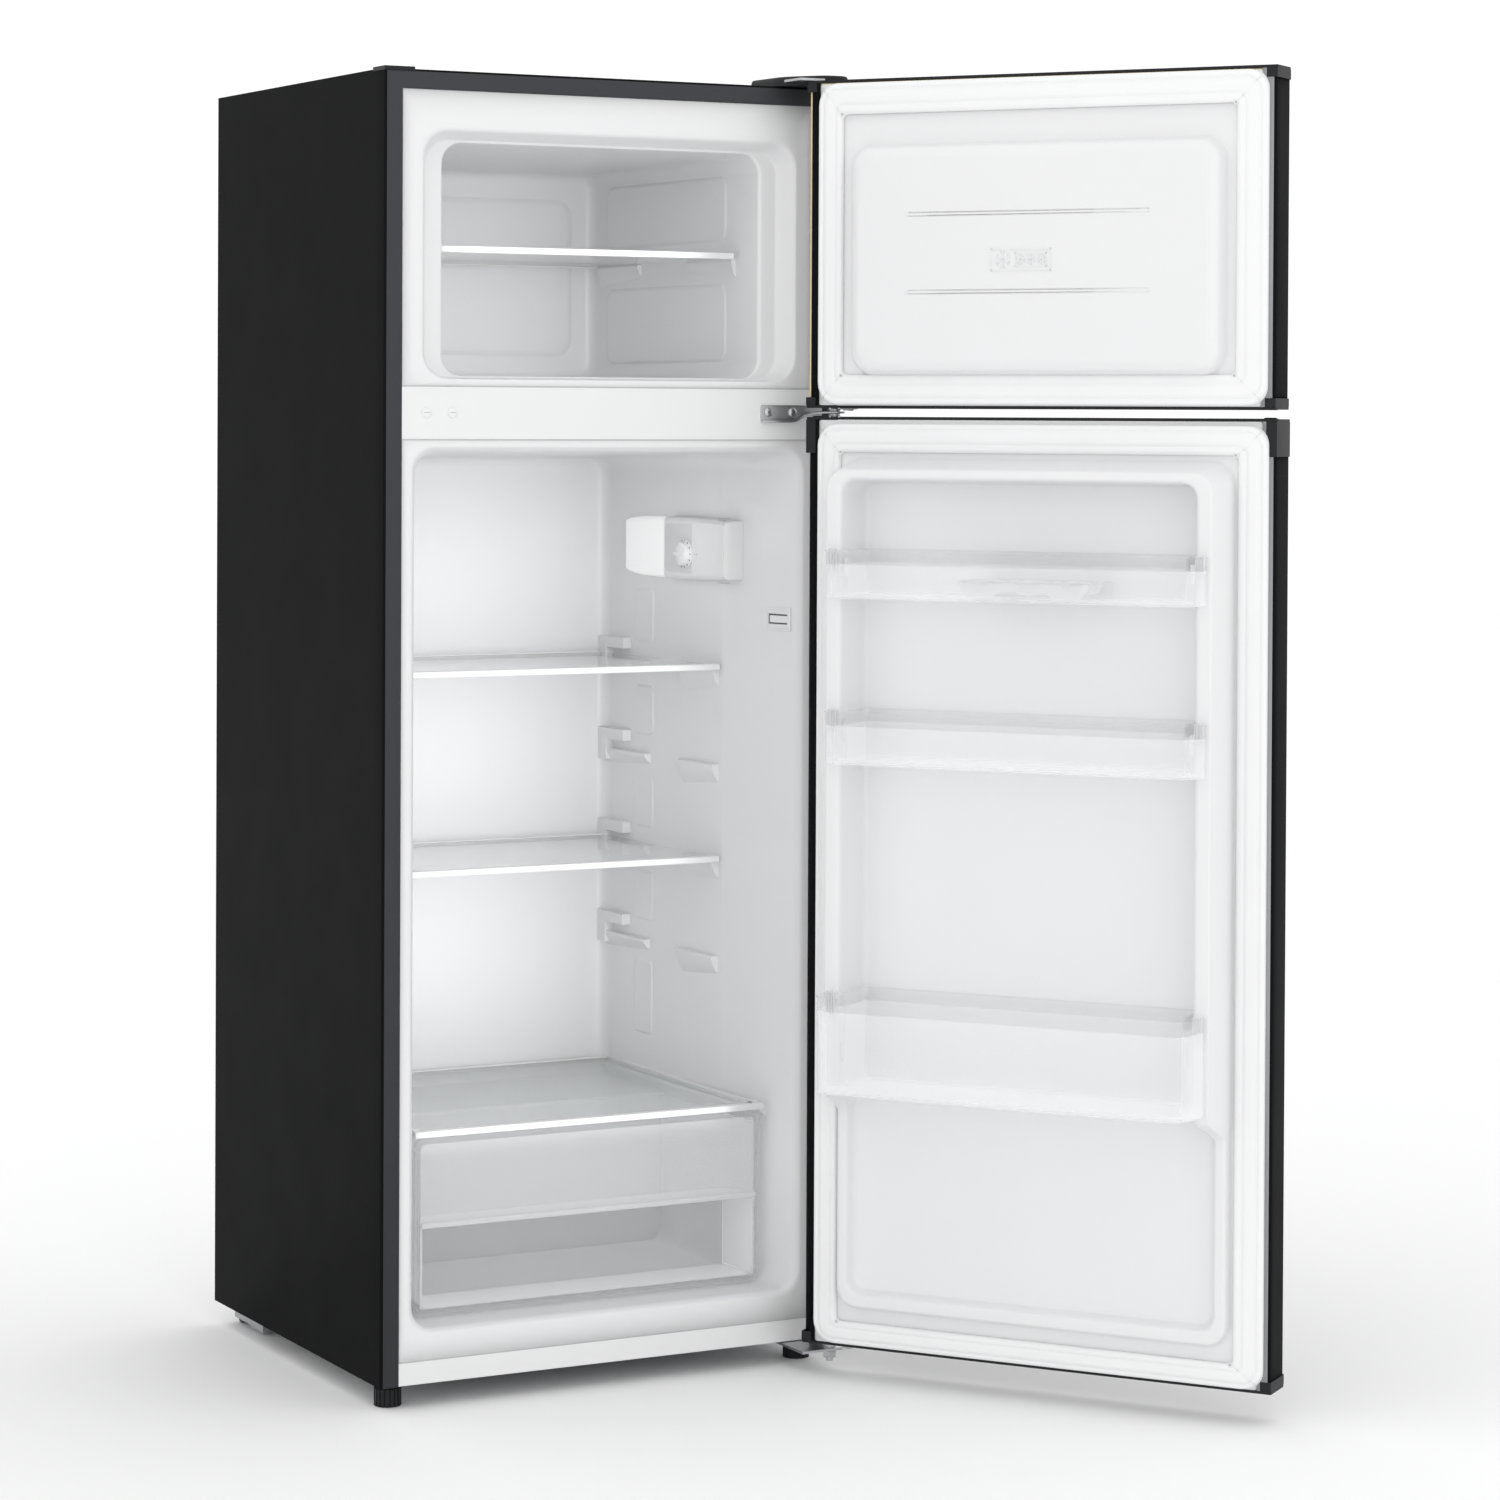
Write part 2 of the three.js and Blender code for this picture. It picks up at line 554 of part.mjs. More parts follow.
/** Plan of a door bin: wide where it laps over the dykes, narrow between them. */
function binPlan(front, inset) {
  const wide = 219 - inset;
  const nose = 204 - inset;
  const neck = 197 - inset;
  const step = DOOR_INNER + DYKE.depth + 2 + inset;
  const back = DOOR_INNER + 3 + inset;
  const y = front - inset;
  return outline([[-neck, back], [neck, back], [neck, step], [wide, step], [wide - 3, y - 14], [nose, y],
    [-nose, y], [-wide + 3, y - 14], [-wide, step], [-neck, step]]);
}

function bin(name, door, front, low, high) {
  const wall = 2.2;
  const body = upright(binPlan(front, 0), low, high);
  const inside = upright(binPlan(front, wall), low + wall, high + 5);
  add(name, cut(body, inside), FINISH.clear, door);
}

function eggTray(door) {
  const cups = [];
  for (const y of [-226, -183]) {
    for (const x of [-68, -20, 28]) cups.push(post(x, y, 18, 880, 905, 12));
  }
  add('egg_tray', cut(box(-96, 56, -248, -169, 874.6, 894), ...cups), FINISH.clear, door);
}

function buildDoors() {
  const freezerForm = (slab) => shell(freezerPlug, slab);
  buildDoor('freezer_door', FREEZER_DOOR, FREEZER_OPEN, freezerForm, freezerPlug(LINER + GAP), {
    outer: { hw: 262, low: 1083, high: 1440 },
    inner: { hw: 229, low: 1116, high: 1404 },
  });
  const fridgeForm = (slab) => shell(fridgeDykes, slab);
  const door = buildDoor('fridge_door', FRIDGE_DOOR, FRIDGE_OPEN, fridgeForm, fridgeDykes(LINER + GAP), {
    outer: { hw: 262, low: 39, high: 1062 },
    inner: { hw: 232, low: 64, high: 1030 },
  });
  bin('upper_bin', door, -165, 872, 924);
  bin('middle_bin', door, -165, 691, 748);
  bin('bottle_bin', door, -145, 334, 439);
  eggTray(door);
  const stop = join(box(197, 237, -298, -282, 29, FRIDGE_DOOR.low - GAP), box(224, 237, -298, -282, 26, 30));
  add('fridge_door_stop', stop, FINISH.grey, door);
}

// ---- inside fittings ------------------------------------------------------------------
function shelf(name, halfGlass, halfTrim, front, back, under) {
  const top = under + GLASS;
  add(`${name}_glass`, symmetricBox(halfGlass, front, back, under, top), FINISH.clear);
  const bar = symmetricBox(halfTrim, front - 4, front + 6, under - 1.6, top + 1.6);
  const slot = symmetricBox(halfTrim + 1, front - GAP, front + 20, under - GAP, top + GAP);
  add(`${name}_trim`, cut(bar, slot), FINISH.white);
}

function crisperDrawer() {
  const stations = (shrink) => [
    { y: -196 + shrink, hw: 210 - shrink, low: 92 + shrink, high: 320, r: 20 },
    { y: -112, hw: 207 - shrink, low: 92 + shrink, high: 320, r: 18 },
    { y: 14 - shrink, hw: 198 - shrink, low: 94 + shrink, high: 320, r: 18 },
  ];
  const front = -201;
  const panelTop = CRISPER_TOP - 3;
  const rim = CRISPER_TOP - 16;              // the tray itself passes under the cover's wall rails
  const aboveRim = symmetricBox(300, -300, 300, rim, 400);
  const tray = cut(loft(stations(0)), aboveRim);
  const panel = loft([
    { y: front, hw: 213, low: 87, high: panelTop, r: 12 },
    { y: front + 5, hw: 213, low: 87, high: panelTop, r: 12 },
  ]);
  const ledge = symmetricBox(205, front - 6, front + 4, 184, 188);
  return join(cut(join(tray, panel), loft(stations(2.5))), panel, ledge);
}

const CONTROL = { face: 194, front: -147, split: 8, back: 128, low: 880, high: 950, knobY: -50, knobZ: 909 };

/** Control box and lamp cover lie against the sloping right wall of the fridge. */
function buildControls() {
  const inside = fridgeCavity(-GAP);
  const { face, front, split, back, low, high, knobY, knobZ } = CONTROL;
  const wall = 1.8;
  const housing = common(box(face, 240, front, split, low, high), inside);
  const hollow = box(face + wall, 240, front + wall, split - wall, low + wall, high - wall);
  add('control_housing', cut(housing, hollow, axle(180, 210, knobY, knobZ, 3.5)), FINISH.white);
  const dome = (inset) => {
    const x = face + inset;
    const near = split + GAP + inset;
    const far = back - inset;
    return upright(outline([[x, near], [x, 84], [x + 3, 104], [x + 9, far], [240, far], [240, near]]),
      low + inset, high - inset);
  };
  add('lamp_cover', cut(common(dome(0), inside), dome(wall)), FINISH.clear);
  add('lamp', join(axle(200, 207.5, 60, 915, 9), axle(197, 201, 60, 915, 6)), FINISH.white);
  const body = box(197, 207.5, knobY - 18, knobY + 18, 890, 928);
  add('thermostat', cut(body, axle(190, 204, knobY, knobZ, 3.5)), FINISH.black);
  add('thermostat_knob', join(
    axle(184, face - GAP, knobY, knobZ, 17, 24),
    axle(184, 202, knobY, knobZ, 3),
    box(182.6, 184.5, knobY - 15, knobY + 15, knobZ - 2.5, knobZ + 2.5),
  ), FINISH.white);

  const plate = (reach) => cut(fridgeCavity(-GAP), fridgeCavity(-reach));
  const frame = common(switchBox(0), plate(2.3));
  add('light_switch_frame', cut(frame, switchBox(SWITCH.border)), FINISH.white);
  add('light_switch', common(switchBox(SWITCH.border + GAP), plate(3.6)), FINISH.white);
}

function buildFittings() {
  shelf('freezer_shelf', 183, 184.5, -178, 170, FREEZER_SHELF);
  shelf('upper_shelf', 205, 206, SHELF_FRONT, SHELF_BACK, SHELF_LEVELS[0]);
  shelf('lower_shelf', 205, 206, SHELF_FRONT, SHELF_BACK, SHELF_LEVELS[2]);
  shelf('crisper_cover', 205, 215, -203, SHELF_BACK, CRISPER_TOP);
  add('crisper_drawer', crisperDrawer(), FINISH.clear);
  buildControls();
}

// ---- feet and rollers -----------------------------------------------------------------
function leveller(side) {
  const ribs = 18;
  const points = [];
  for (let i = 0; i < ribs; i += 1) {
    for (const [offset, r] of [[0, FOOT.r], [0.55, FOOT.r], [0.62, FOOT.r - 1.2], [0.93, FOOT.r - 1.2]]) {
      const angle = ((i + offset) / ribs) * 2 * Math.PI;
      points.push([side * FOOT.x + r * Math.cos(angle), FOOT.y + r * Math.sin(angle)]);
    }
  }
  return join(upright(outline(points), 0, FOOT.top), post(side * FOOT.x, FOOT.y, 5, FOOT.top - 2, 46, 12));
}

function roller(side) {
  const x = side * 240;
  return cut(axle(x - 8, x + 8, 228, ROLLER_R, ROLLER_R, 24), axle(x - 10, x + 10, 228, ROLLER_R, 2.9, 12));
}

function buildSupports() {
  [['left', -1], ['right', 1]].forEach(([name, side]) => {
    add(`front_foot_${name}`, leveller(side), FINISH.black);
    add(`rear_roller_${name}`, roller(side), FINISH.black);
  });
}

buildCase();
buildLiners();
buildMachinery();
buildHinges();
buildDoors();
buildFittings();
buildSupports();

// Origin: middle of the object's box as it stands with its doors open, on the floor.
const extent = new THREE.Box3().setFromObject(model, true);
const middle = extent.getCenter(new THREE.Vector3());
model.position.set(-middle.x, -middle.y, -extent.min.z);
model.updateMatrixWorld(true);

export default model;
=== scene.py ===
import json
from math import cos, pi, radians, sin

import bmesh
import bpy
from mathutils import Matrix, Vector


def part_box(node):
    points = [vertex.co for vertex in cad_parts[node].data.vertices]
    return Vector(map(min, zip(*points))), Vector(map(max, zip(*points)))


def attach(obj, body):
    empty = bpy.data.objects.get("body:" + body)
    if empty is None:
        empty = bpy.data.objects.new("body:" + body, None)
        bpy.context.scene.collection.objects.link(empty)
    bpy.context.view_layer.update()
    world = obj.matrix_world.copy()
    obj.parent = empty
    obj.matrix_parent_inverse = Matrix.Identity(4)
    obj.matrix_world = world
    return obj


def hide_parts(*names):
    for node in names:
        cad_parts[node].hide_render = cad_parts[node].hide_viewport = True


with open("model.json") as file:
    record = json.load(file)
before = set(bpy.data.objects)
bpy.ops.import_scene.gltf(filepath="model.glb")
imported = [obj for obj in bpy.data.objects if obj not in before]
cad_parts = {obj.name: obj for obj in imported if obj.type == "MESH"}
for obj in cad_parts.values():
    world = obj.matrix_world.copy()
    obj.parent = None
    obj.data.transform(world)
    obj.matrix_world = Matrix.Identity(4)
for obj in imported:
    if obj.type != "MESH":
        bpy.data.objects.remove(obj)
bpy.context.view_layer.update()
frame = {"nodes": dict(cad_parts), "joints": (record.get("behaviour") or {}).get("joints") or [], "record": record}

# ---- places -----------------------------------------------------------------------------
# Cabinet millimetres: X from the middle of the cabinet, Y = -248 at its front plane, Z = 0 on the
# floor. Pieces of a door are drawn as if the door were closed, then turned open about its hinge.
MM = 0.001
HALF_WIDTH = 272.5
FRONT = -248
BACK = 248
CASE_BOTTOM = 25
CASE_TOP = 1439
DOOR_INNER = -256
DOOR_OUTER = -302
DOOR_LINER_FACE = DOOR_INNER - 0.05
HINGE_X = 255.5
HINGE_Y = -290
MIDDLE_HINGE_Z = 1074
FREEZER_DOOR_SPAN = (1079, 1443)
FRIDGE_DOOR_SPAN = (35, 1069)
LINER_SHEET = 1.8
STEEL_SHEET = 0.9

case_low, case_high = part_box("outer_case")
ORIGIN = Vector(((case_low.x + case_high.x) / 2, case_low.y - FRONT * MM, 0))
CABINET = Matrix.Translation(ORIGIN) @ Matrix.Scale(MM, 4)
JOINTS = {joint["name"]: joint for joint in frame["joints"]}


def opened(joint_name):
    """Closed-door millimetres to the open door's place at rest."""
    joint = JOINTS[joint_name]
    pin = Vector(joint["pos_m"])
    turn = Matrix.Rotation(-radians(joint["range_deg"][0]), 4, "Z")
    return Matrix.Translation(pin) @ turn @ Matrix.Translation(-pin) @ CABINET


FREEZER_DOOR = opened("freezer_door_hinge")
FRIDGE_DOOR = opened("fridge_door_hinge")


# ---- finishes ---------------------------------------------------------------------------
BUMP_HEIGHT = 0.0004


class Finish:
    """A node material: broad colour patches, roughness patches and a fine bump."""

    def __init__(self, name, colour, rough, metal=0.0, vary=0.03, patch=7.0, grain=900.0, depth=0.1,
                 rough_vary=0.05, specular=0.5):
        self.material = bpy.data.materials.new(name)
        self.material.use_nodes = True
        self.nodes = self.material.node_tree.nodes
        self.links = self.material.node_tree.links
        self.shader = self.nodes["Principled BSDF"]
        self.shader.inputs["Metallic"].default_value = metal
        self.shader.inputs["Specular IOR Level"].default_value = specular
        self.place = self.nodes.new("ShaderNodeTexCoord").outputs["Object"]
        patches = self.noise(patch, 3)
        mix = self.nodes.new("ShaderNodeMix")
        mix.data_type = "RGBA"
        mix.inputs["A"].default_value = [c * (1 - vary) for c in colour] + [1]
        mix.inputs["B"].default_value = [min(1, c * (1 + vary)) for c in colour] + [1]
        self.links.new(patches, mix.inputs["Factor"])
        self.links.new(mix.outputs["Result"], self.shader.inputs["Base Color"])
        spread = self.nodes.new("ShaderNodeMapRange")
        spread.inputs["To Min"].default_value = max(0.02, rough - rough_vary)
        spread.inputs["To Max"].default_value = min(1, rough + rough_vary)
        self.links.new(self.noise(patch * 4, 2), spread.inputs["Value"])
        self.links.new(spread.outputs["Result"], self.shader.inputs["Roughness"])
        bump = self.nodes.new("ShaderNodeBump")
        bump.inputs["Strength"].default_value = depth
        bump.inputs["Distance"].default_value = BUMP_HEIGHT
        self.links.new(self.noise(grain, 2), bump.inputs["Height"])
        self.links.new(bump.outputs["Normal"], self.shader.inputs["Normal"])

    def noise(self, scale, detail):
        texture = self.nodes.new("ShaderNodeTexNoise")
        texture.inputs["Scale"].default_value = scale
        texture.inputs["Detail"].default_value = detail
        self.links.new(self.place, texture.inputs["Vector"])
        return texture.outputs["Fac"]

    def see_through(self, facing, grazing):
        """Opacity seen square on, rising to the opacity seen along the surface."""
        weight = self.nodes.new("ShaderNodeLayerWeight")
        weight.inputs["Blend"].default_value = 0.35
        spread = self.nodes.new("ShaderNodeMapRange")
        spread.inputs["To Min"].default_value = facing
        spread.inputs["To Max"].default_value = grazing
        self.links.new(weight.outputs["Facing"], spread.inputs["Value"])
        self.links.new(spread.outputs["Result"], self.shader.inputs["Alpha"])
        return self

    # Emission. On the lamp lens it is the lamp behind it; on the frosted and cloudy plastics, which are no lamp,
    # it is painted light that brightens them.
    def glow(self, strength):
        self.shader.inputs["Emission Color"].default_value = (1, 1, 1, 1)
        self.shader.inputs["Emission Strength"].default_value = strength
        return self


PAINT = Finish("charcoal_paint", (0.0082, 0.0084, 0.0092), 0.5, vary=0.1, patch=3, grain=1400, depth=0.12,
               specular=0.014)
# The front flange, the same bent sheet as the sides, gets a lighter copy of the charcoal paint: painted light on
# the face turned to the front.
FLANGE_PAINTED_LIGHT = Finish("flange_painted_light", (0.043, 0.044, 0.05), 0.45, vary=0.05, grain=1400, depth=0.12,
                      specular=0.25)
# Light grey on the door skin's return strip in place of the charcoal paint: a painted reflection of the white
# surroundings.
RETURN_PAINTED_REFLECTION = Finish("return_painted_reflection", (0.33, 0.335, 0.345), 0.5, vary=0.04, grain=1200, depth=0.1)
LINER_PLASTIC = Finish("liner_plastic", (0.83, 0.832, 0.838), 0.34, vary=0.012, patch=5, grain=600,
                       depth=0.05)
WHITE_PLASTIC = Finish("white_plastic", (0.84, 0.842, 0.845), 0.32, vary=0.015, patch=12, grain=900,
                       depth=0.05)
GASKET_RUBBER = Finish("gasket_rubber", (0.9, 0.902, 0.906), 0.55, vary=0.02, patch=14, grain=1500,
                       depth=0.12)
BLACK_PLASTIC = Finish("black_plastic", (0.013, 0.0135, 0.015), 0.5, vary=0.12, grain=1700, depth=0.4,
                       specular=0.25)
GREY_PLASTIC = Finish("grey_plastic", (0.64, 0.645, 0.655), 0.45, vary=0.04, grain=1100, depth=0.15)
ZINC = Finish("zinc_steel", (0.56, 0.565, 0.575), 0.34, metal=1, vary=0.12, patch=60, grain=700, depth=0.25,
              rough_vary=0.12)
GALVANISED = Finish("galvanised_steel", (0.42, 0.43, 0.44), 0.45, metal=0.9, vary=0.2, patch=45, grain=500,
                    depth=0.2, rough_vary=0.12)
BLACK_STEEL = Finish("black_steel", (0.016, 0.016, 0.017), 0.38, vary=0.15, grain=900, depth=0.2)
COPPER = Finish("copper_tube", (0.62, 0.3, 0.17), 0.3, metal=1, vary=0.2, patch=35, grain=600, depth=0.15)
ALUMINIUM = Finish("aluminium_plate", (0.72, 0.725, 0.735), 0.36, metal=1, vary=0.06, patch=30, grain=800,
                   depth=0.15)
FOAM = Finish("insulation_foam", (0.72, 0.6, 0.34), 0.9, vary=0.12, patch=25, grain=260, depth=0.8)
CLEAR = Finish("clear_plastic", (0.86, 0.88, 0.9), 0.08, vary=0.01, grain=300, depth=0.02,
               rough_vary=0.03).see_through(0.06, 0.55)
# The frosted and cloudy plastics get a faint glow that no lamp gives them: painted light.
FROSTED = Finish("frosted_plastic", (0.93, 0.94, 0.955), 0.42, vary=0.015, grain=1500,
                 depth=0.15).see_through(0.2, 0.6).glow(0.1)
CLOUDY = Finish("cloudy_plastic", (0.88, 0.89, 0.905), 0.3, vary=0.015, grain=1500,
                depth=0.1).see_through(0.36, 0.75).glow(0.05)
GLASS = Finish("shelf_glass", (0.88, 0.915, 0.91), 0.04, vary=0.01, grain=40, depth=0.01,
               rough_vary=0.02).see_through(0.12, 0.5)
LAMP_LENS = Finish("lamp_lens", (0.93, 0.93, 0.93), 0.4, vary=0.01, grain=500,
                   depth=0.1).see_through(0.9, 0.96).glow(0.22)
# Near-white, half-opaque finish for lines along the drawer's edges and lip: painted highlights, standing in for
# light caught on the clear plastic's edges.
PAINTED_HIGHLIGHT = Finish("painted_highlight_lines", (0.93, 0.94, 0.95), 0.15, vary=0.01, grain=300, depth=0.02,
                     rough_vary=0.03).see_through(0.5, 0.8)
FIELD_PLASTIC = Finish("field_plastic", (0.74, 0.745, 0.755), 0.5, vary=0.02, patch=12, grain=1400,
                       depth=0.15)
# Dark and soft grey marks: real seams, mitres and print, and also painted shade in screw recesses, holes, vent
# slots and the switch opening.
DARK_MARK = Finish("dark_mark", (0.1, 0.1, 0.105), 0.5, vary=0.05, grain=1500, depth=0.1)
SOFT_MARK = Finish("soft_mark", (0.52, 0.525, 0.53), 0.5, vary=0.04, grain=1500, depth=0.1)


# ---- shapes -----------------------------------------------------------------------------
def ring(hw, low, high, r, y, side_zs=(), steps=7):
    """Rounded rectangle in the plane Y = y, counter-clockwise from the front."""
    points = []

    def corner(cx, cz, start):
        for i in range(steps + 1):
            a = radians(start + 90 * i / steps)
            points.append((cx + r * cos(a), y, cz + r * sin(a)))

    corner(hw - r, low + r, -90)
    points.extend((hw, y, z) for z in side_zs)
    corner(hw - r, high - r, 0)
    corner(-hw + r, high - r, 90)
    points.extend((-hw, y, z) for z in reversed(side_zs))
    corner(-hw + r, low + r, 180)
    return points


def fillet(keys, sizes, steps=4):
    """Rounds the inner corners of a line through the keys; a size of 0 leaves one sharp."""
    keys = [Vector(key) for key in keys]
    rounded = [keys[0]]
    for before, here, after, size in zip(keys, keys[1:], keys[2:], sizes):
        if not size:
            rounded.append(here)
            continue
        start = here + (before - here) * min(0.5, size / (before - here).length)
        end = here + (after - here) * min(0.5, size / (after - here).length)
        for i in range(steps + 1):
            t = i / steps
            rounded.append(start * (1 - t) ** 2 + here * 2 * t * (1 - t) + end * t * t)
    rounded.append(keys[-1])
    return rounded


def soft_edge(proud, soft, lead=0.4, flat=2):
    """Inset and height of the lines along the edge of a soft raised field."""
    return fillet([(0, -0.6), (lead, 0), (soft, proud), (soft * flat, proud)], [lead, soft * 0.6])


def round_outline(points, radii, steps=4):
    """Closed 2-D outline with its corners rounded, always with steps + 1 points a corner."""
    count = len(points)
    if not hasattr(radii, "__len__"):
        radii = [radii] * count
    made = []
    for i, (x, y) in enumerate(points):
        here = Vector((x, y))
        before = Vector(points[i - 1]) - here
        after = Vector(points[(i + 1) % count]) - here
        reach = min(radii[i], before.length * 0.49, after.length * 0.49)
        start = here + before.normalized() * reach
        end = here + after.normalized() * reach
        for k in range(steps + 1):
            t = k / steps
            made.append(tuple(start * (1 - t) ** 2 + here * 2 * t * (1 - t) + end * t * t))
    return made


def rectangle(x0, x1, y0, y1):
    return [(x0, y0), (x1, y0), (x1, y1), (x0, y1)]


LIFT = {
    "x": lambda a, b, c: (c, a, b),
    "y": lambda a, b, c: (a, c, b),
    "z": lambda a, b, c: (a, b, c),
}


class Shape:
    """Faces collected in millimetres, each with the number of its finish."""

    def __init__(self):
        self.points = []
        self.faces = []
        self.marks = []

    def add(self, points, faces, mark=0):
        base = len(self.points)
        self.points.extend(Vector(p) for p in points)
        for k, face in enumerate(faces):
            self.faces.append([base + i for i in face])
            self.marks.append(mark[k] if isinstance(mark, list) else mark)
        return self

    def loft(self, rings, mark=0, caps=(True, True), closed=True, wrap=False, marks=None, flip=False):
        """Skin through rings of equal length. Normals face inwards of counter-clockwise rings."""
        count = len(rings[0])
        faces = []
        face_marks = []
        pairs = list(range(len(rings) - 1)) + ([len(rings) - 1] if wrap else [])
        for k in pairs:
            near = k * count
            far = (k + 1) % len(rings) * count
            for i in range(count if closed else count - 1):
                j = (i + 1) % count
                faces.append([near + i, near + j, far + j, far + i])
                face_marks.append(marks[k] if marks else mark)
        if caps[0] and not wrap:
            faces.append(list(range(count))[::-1])
            face_marks.append(marks[0] if marks else mark)
        if caps[1] and not wrap:
            faces.append([(len(rings) - 1) * count + i for i in range(count)])
            face_marks.append(marks[-1] if marks else mark)
        if flip:
            faces = [face[::-1] for face in faces]
        return self.add([p for r in rings for p in r], faces, face_marks)

    def prism(self, outline, axis, low, high, mark=0):
        lift = LIFT[axis]
        return self.loft([[lift(a, b, low) for a, b in outline], [lift(a, b, high) for a, b in outline]],
                         mark)

    def stack(self, outlines, axis, heights, mark=0):
        """Closed body through several outlines at rising heights."""
        lift = LIFT[axis]
        return self.loft([[lift(a, b, h) for a, b in o] for o, h in zip(outlines, heights)], mark)

    def block(self, x0, x1, y0, y1, z0, z1, mark=0):
        return self.prism(rectangle(x0, x1, y0, y1), "z", z0, z1, mark)

    def lathe(self, profile, centre, axis="z", steps=32, mark=0, wrap=False):
        """Turned body: profile is (radius, height) pairs along the axis."""
        lift = LIFT[axis]
        at = Vector(centre)
        rings = [[at + Vector(lift(r * cos(2 * pi * i / steps), r * sin(2 * pi * i / steps), h))
                  for i in range(steps)] for r, h in profile]
        return self.loft(rings, mark, wrap=wrap)

    def tube(self, path, radius, steps=10, mark=0):
        path = [Vector(p) for p in path]
        side = None
        rings = []
        for i, here in enumerate(path):
            along = (path[min(i + 1, len(path) - 1)] - path[max(i - 1, 0)]).normalized()
            if side is None:
                side = along.orthogonal().normalized()
            side = (side - along * side.dot(along)).normalized()
            other = along.cross(side)
            rings.append([here + side * (radius * cos(2 * pi * k / steps))
                          + other * (radius * sin(2 * pi * k / steps)) for k in range(steps)])
        return self.loft(rings, mark)

    def piece(self, name, body, where, finishes, slot, replaces=(), bevel=0, sheet=0, segments=2, angle=35):
        """Makes the object, in metres at its place, riding on its body."""
        mesh = bpy.data.meshes.new(name)
        mesh.from_pydata(self.points, [], self.faces)
        mesh.polygons.foreach_set("material_index", self.marks)
        for finish in finishes:
            mesh.materials.append(finish.material)
        work = bmesh.new()
        work.from_mesh(mesh)
        if not sheet:
            bmesh.ops.recalc_face_normals(work, faces=work.faces)
        work.transform(where)
        work.to_mesh(mesh)
        work.free()
        mesh.shade_smooth()
        thing = bpy.data.objects.new(name, mesh)
        bpy.context.scene.collection.objects.link(thing)
        if sheet:
            solid = thing.modifiers.new("thickness", "SOLIDIFY")
            solid.thickness = sheet * MM
            solid.offset = -1
        if bevel:
            round_edges = thing.modifiers.new("round_edges", "BEVEL")
            round_edges.width = bevel * MM
            round_edges.segments = segments
            round_edges.limit_method = "ANGLE"
            round_edges.angle_limit = radians(30)
            round_edges.harden_normals = True
        else:
            mesh.set_sharp_from_angle(angle=radians(angle))
        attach(thing, body)
        if replaces:
            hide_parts(*replaces)
        return thing

    def fixed(self, name, *details, **options):
        """Makes a piece that stands still with the cabinet."""
        return self.piece(name, "root", CABINET, *details, **options)


# ---- camera, stage and light --------------------------------------------------------------
CAMERA_AT = (-1990.4, -4276.76, 1070.15)
CAMERA_YAW_PITCH_ROLL = (28.14, -0.83, 0.27)
FOCAL_LENGTH = 98.04
FLOOR_REACH = 14
FLOOR_DROP = 0.0005


def make_camera():
    place = Vector(CAMERA_AT) * MM + ORIGIN
    yaw, pitch, roll = (radians(angle) for angle in CAMERA_YAW_PITCH_ROLL)
    forward = Vector((sin(yaw) * cos(pitch), cos(yaw) * cos(pitch), sin(pitch)))
    level = Vector((cos(yaw), -sin(yaw), 0))
    upward = level.cross(forward)
    right = level * cos(roll) + upward * sin(roll)
    up = upward * cos(roll) - level * sin(roll)
    data = bpy.data.cameras.new("camera")
    data.sensor_width = 36
    data.lens = FOCAL_LENGTH
    data.shift_x = 0.00357
    data.shift_y = -0.1835
    data.clip_end = 60
    camera = bpy.data.objects.new("camera", data)
    turn = Matrix((right, up, -forward)).transposed().to_4x4()
    camera.matrix_world = Matrix.Translation(place) @ turn
    bpy.context.scene.collection.objects.link(camera)
    bpy.context.scene.camera = camera


def make_floor():
    finish = Finish("floor", (0.97, 0.97, 0.972), 0.75, vary=0.006, patch=1.5, grain=80, depth=0.02,
                    specular=0.2)
    mesh = bpy.data.meshes.new("floor")
    corners = rectangle(-FLOOR_REACH, FLOOR_REACH, -FLOOR_REACH, FLOOR_REACH)
    mesh.from_pydata([(x, y, -FLOOR_DROP) for x, y in corners], [], [(0, 1, 2, 3)])
    mesh.materials.append(finish.material)
    floor = bpy.data.objects.new("floor", mesh)
    bpy.context.scene.collection.objects.link(floor)


def area_light(name, place, target, width, height, watts, spread=180):
    """Soft rectangular lamp; place and target are cabinet millimetres, spread is its beam in degrees."""
    data = bpy.data.lights.new(name, "AREA")
    data.shape = "RECTANGLE"
    data.size = width
    data.size_y = height
    data.energy = watts
    data.spread = radians(spread)
    light = bpy.data.objects.new(name, data)
    place, target = CABINET @ Vector(place), CABINET @ Vector(target)
    light.location = place
    light.rotation_euler = (target - place).to_track_quat("-Z", "Y").to_euler()
    light.visible_camera = False
    bpy.context.scene.collection.objects.link(light)


def make_light():
    world = bpy.data.worlds.new("studio")
    world.use_nodes = True
    sky = world.node_tree.nodes["Background"]
    sky.inputs["Color"].default_value = (1, 1, 1, 1)
    sky.inputs["Strength"].default_value = 1.06
    bpy.context.scene.world = world
    bpy.context.scene.view_settings.view_transform = "Standard"
    area_light("front_light", (-1100, -4000, 1500), (0, 0, 700), 1.6, 1.6, 6)
    area_light("fridge_light", (-20, -236, 640), (-20, 190, 640), 0.38, 0.74, 0.45, 60)
    area_light("freezer_light", (-20, -236, 1240), (10, 190, 1215), 0.3, 0.18, 0.15, 70)
    area_light("lamp_light", (110, -70, 925), (194, -70, 915), 0.08, 0.05, 0.012)


make_camera()
make_floor()
make_light()


# ---- cabinet ------------------------------------------------------------------------------
FLANGE = 20
MULLION_LOW = 1043
MULLION_HIGH = 1100
KICK_TOP = 50


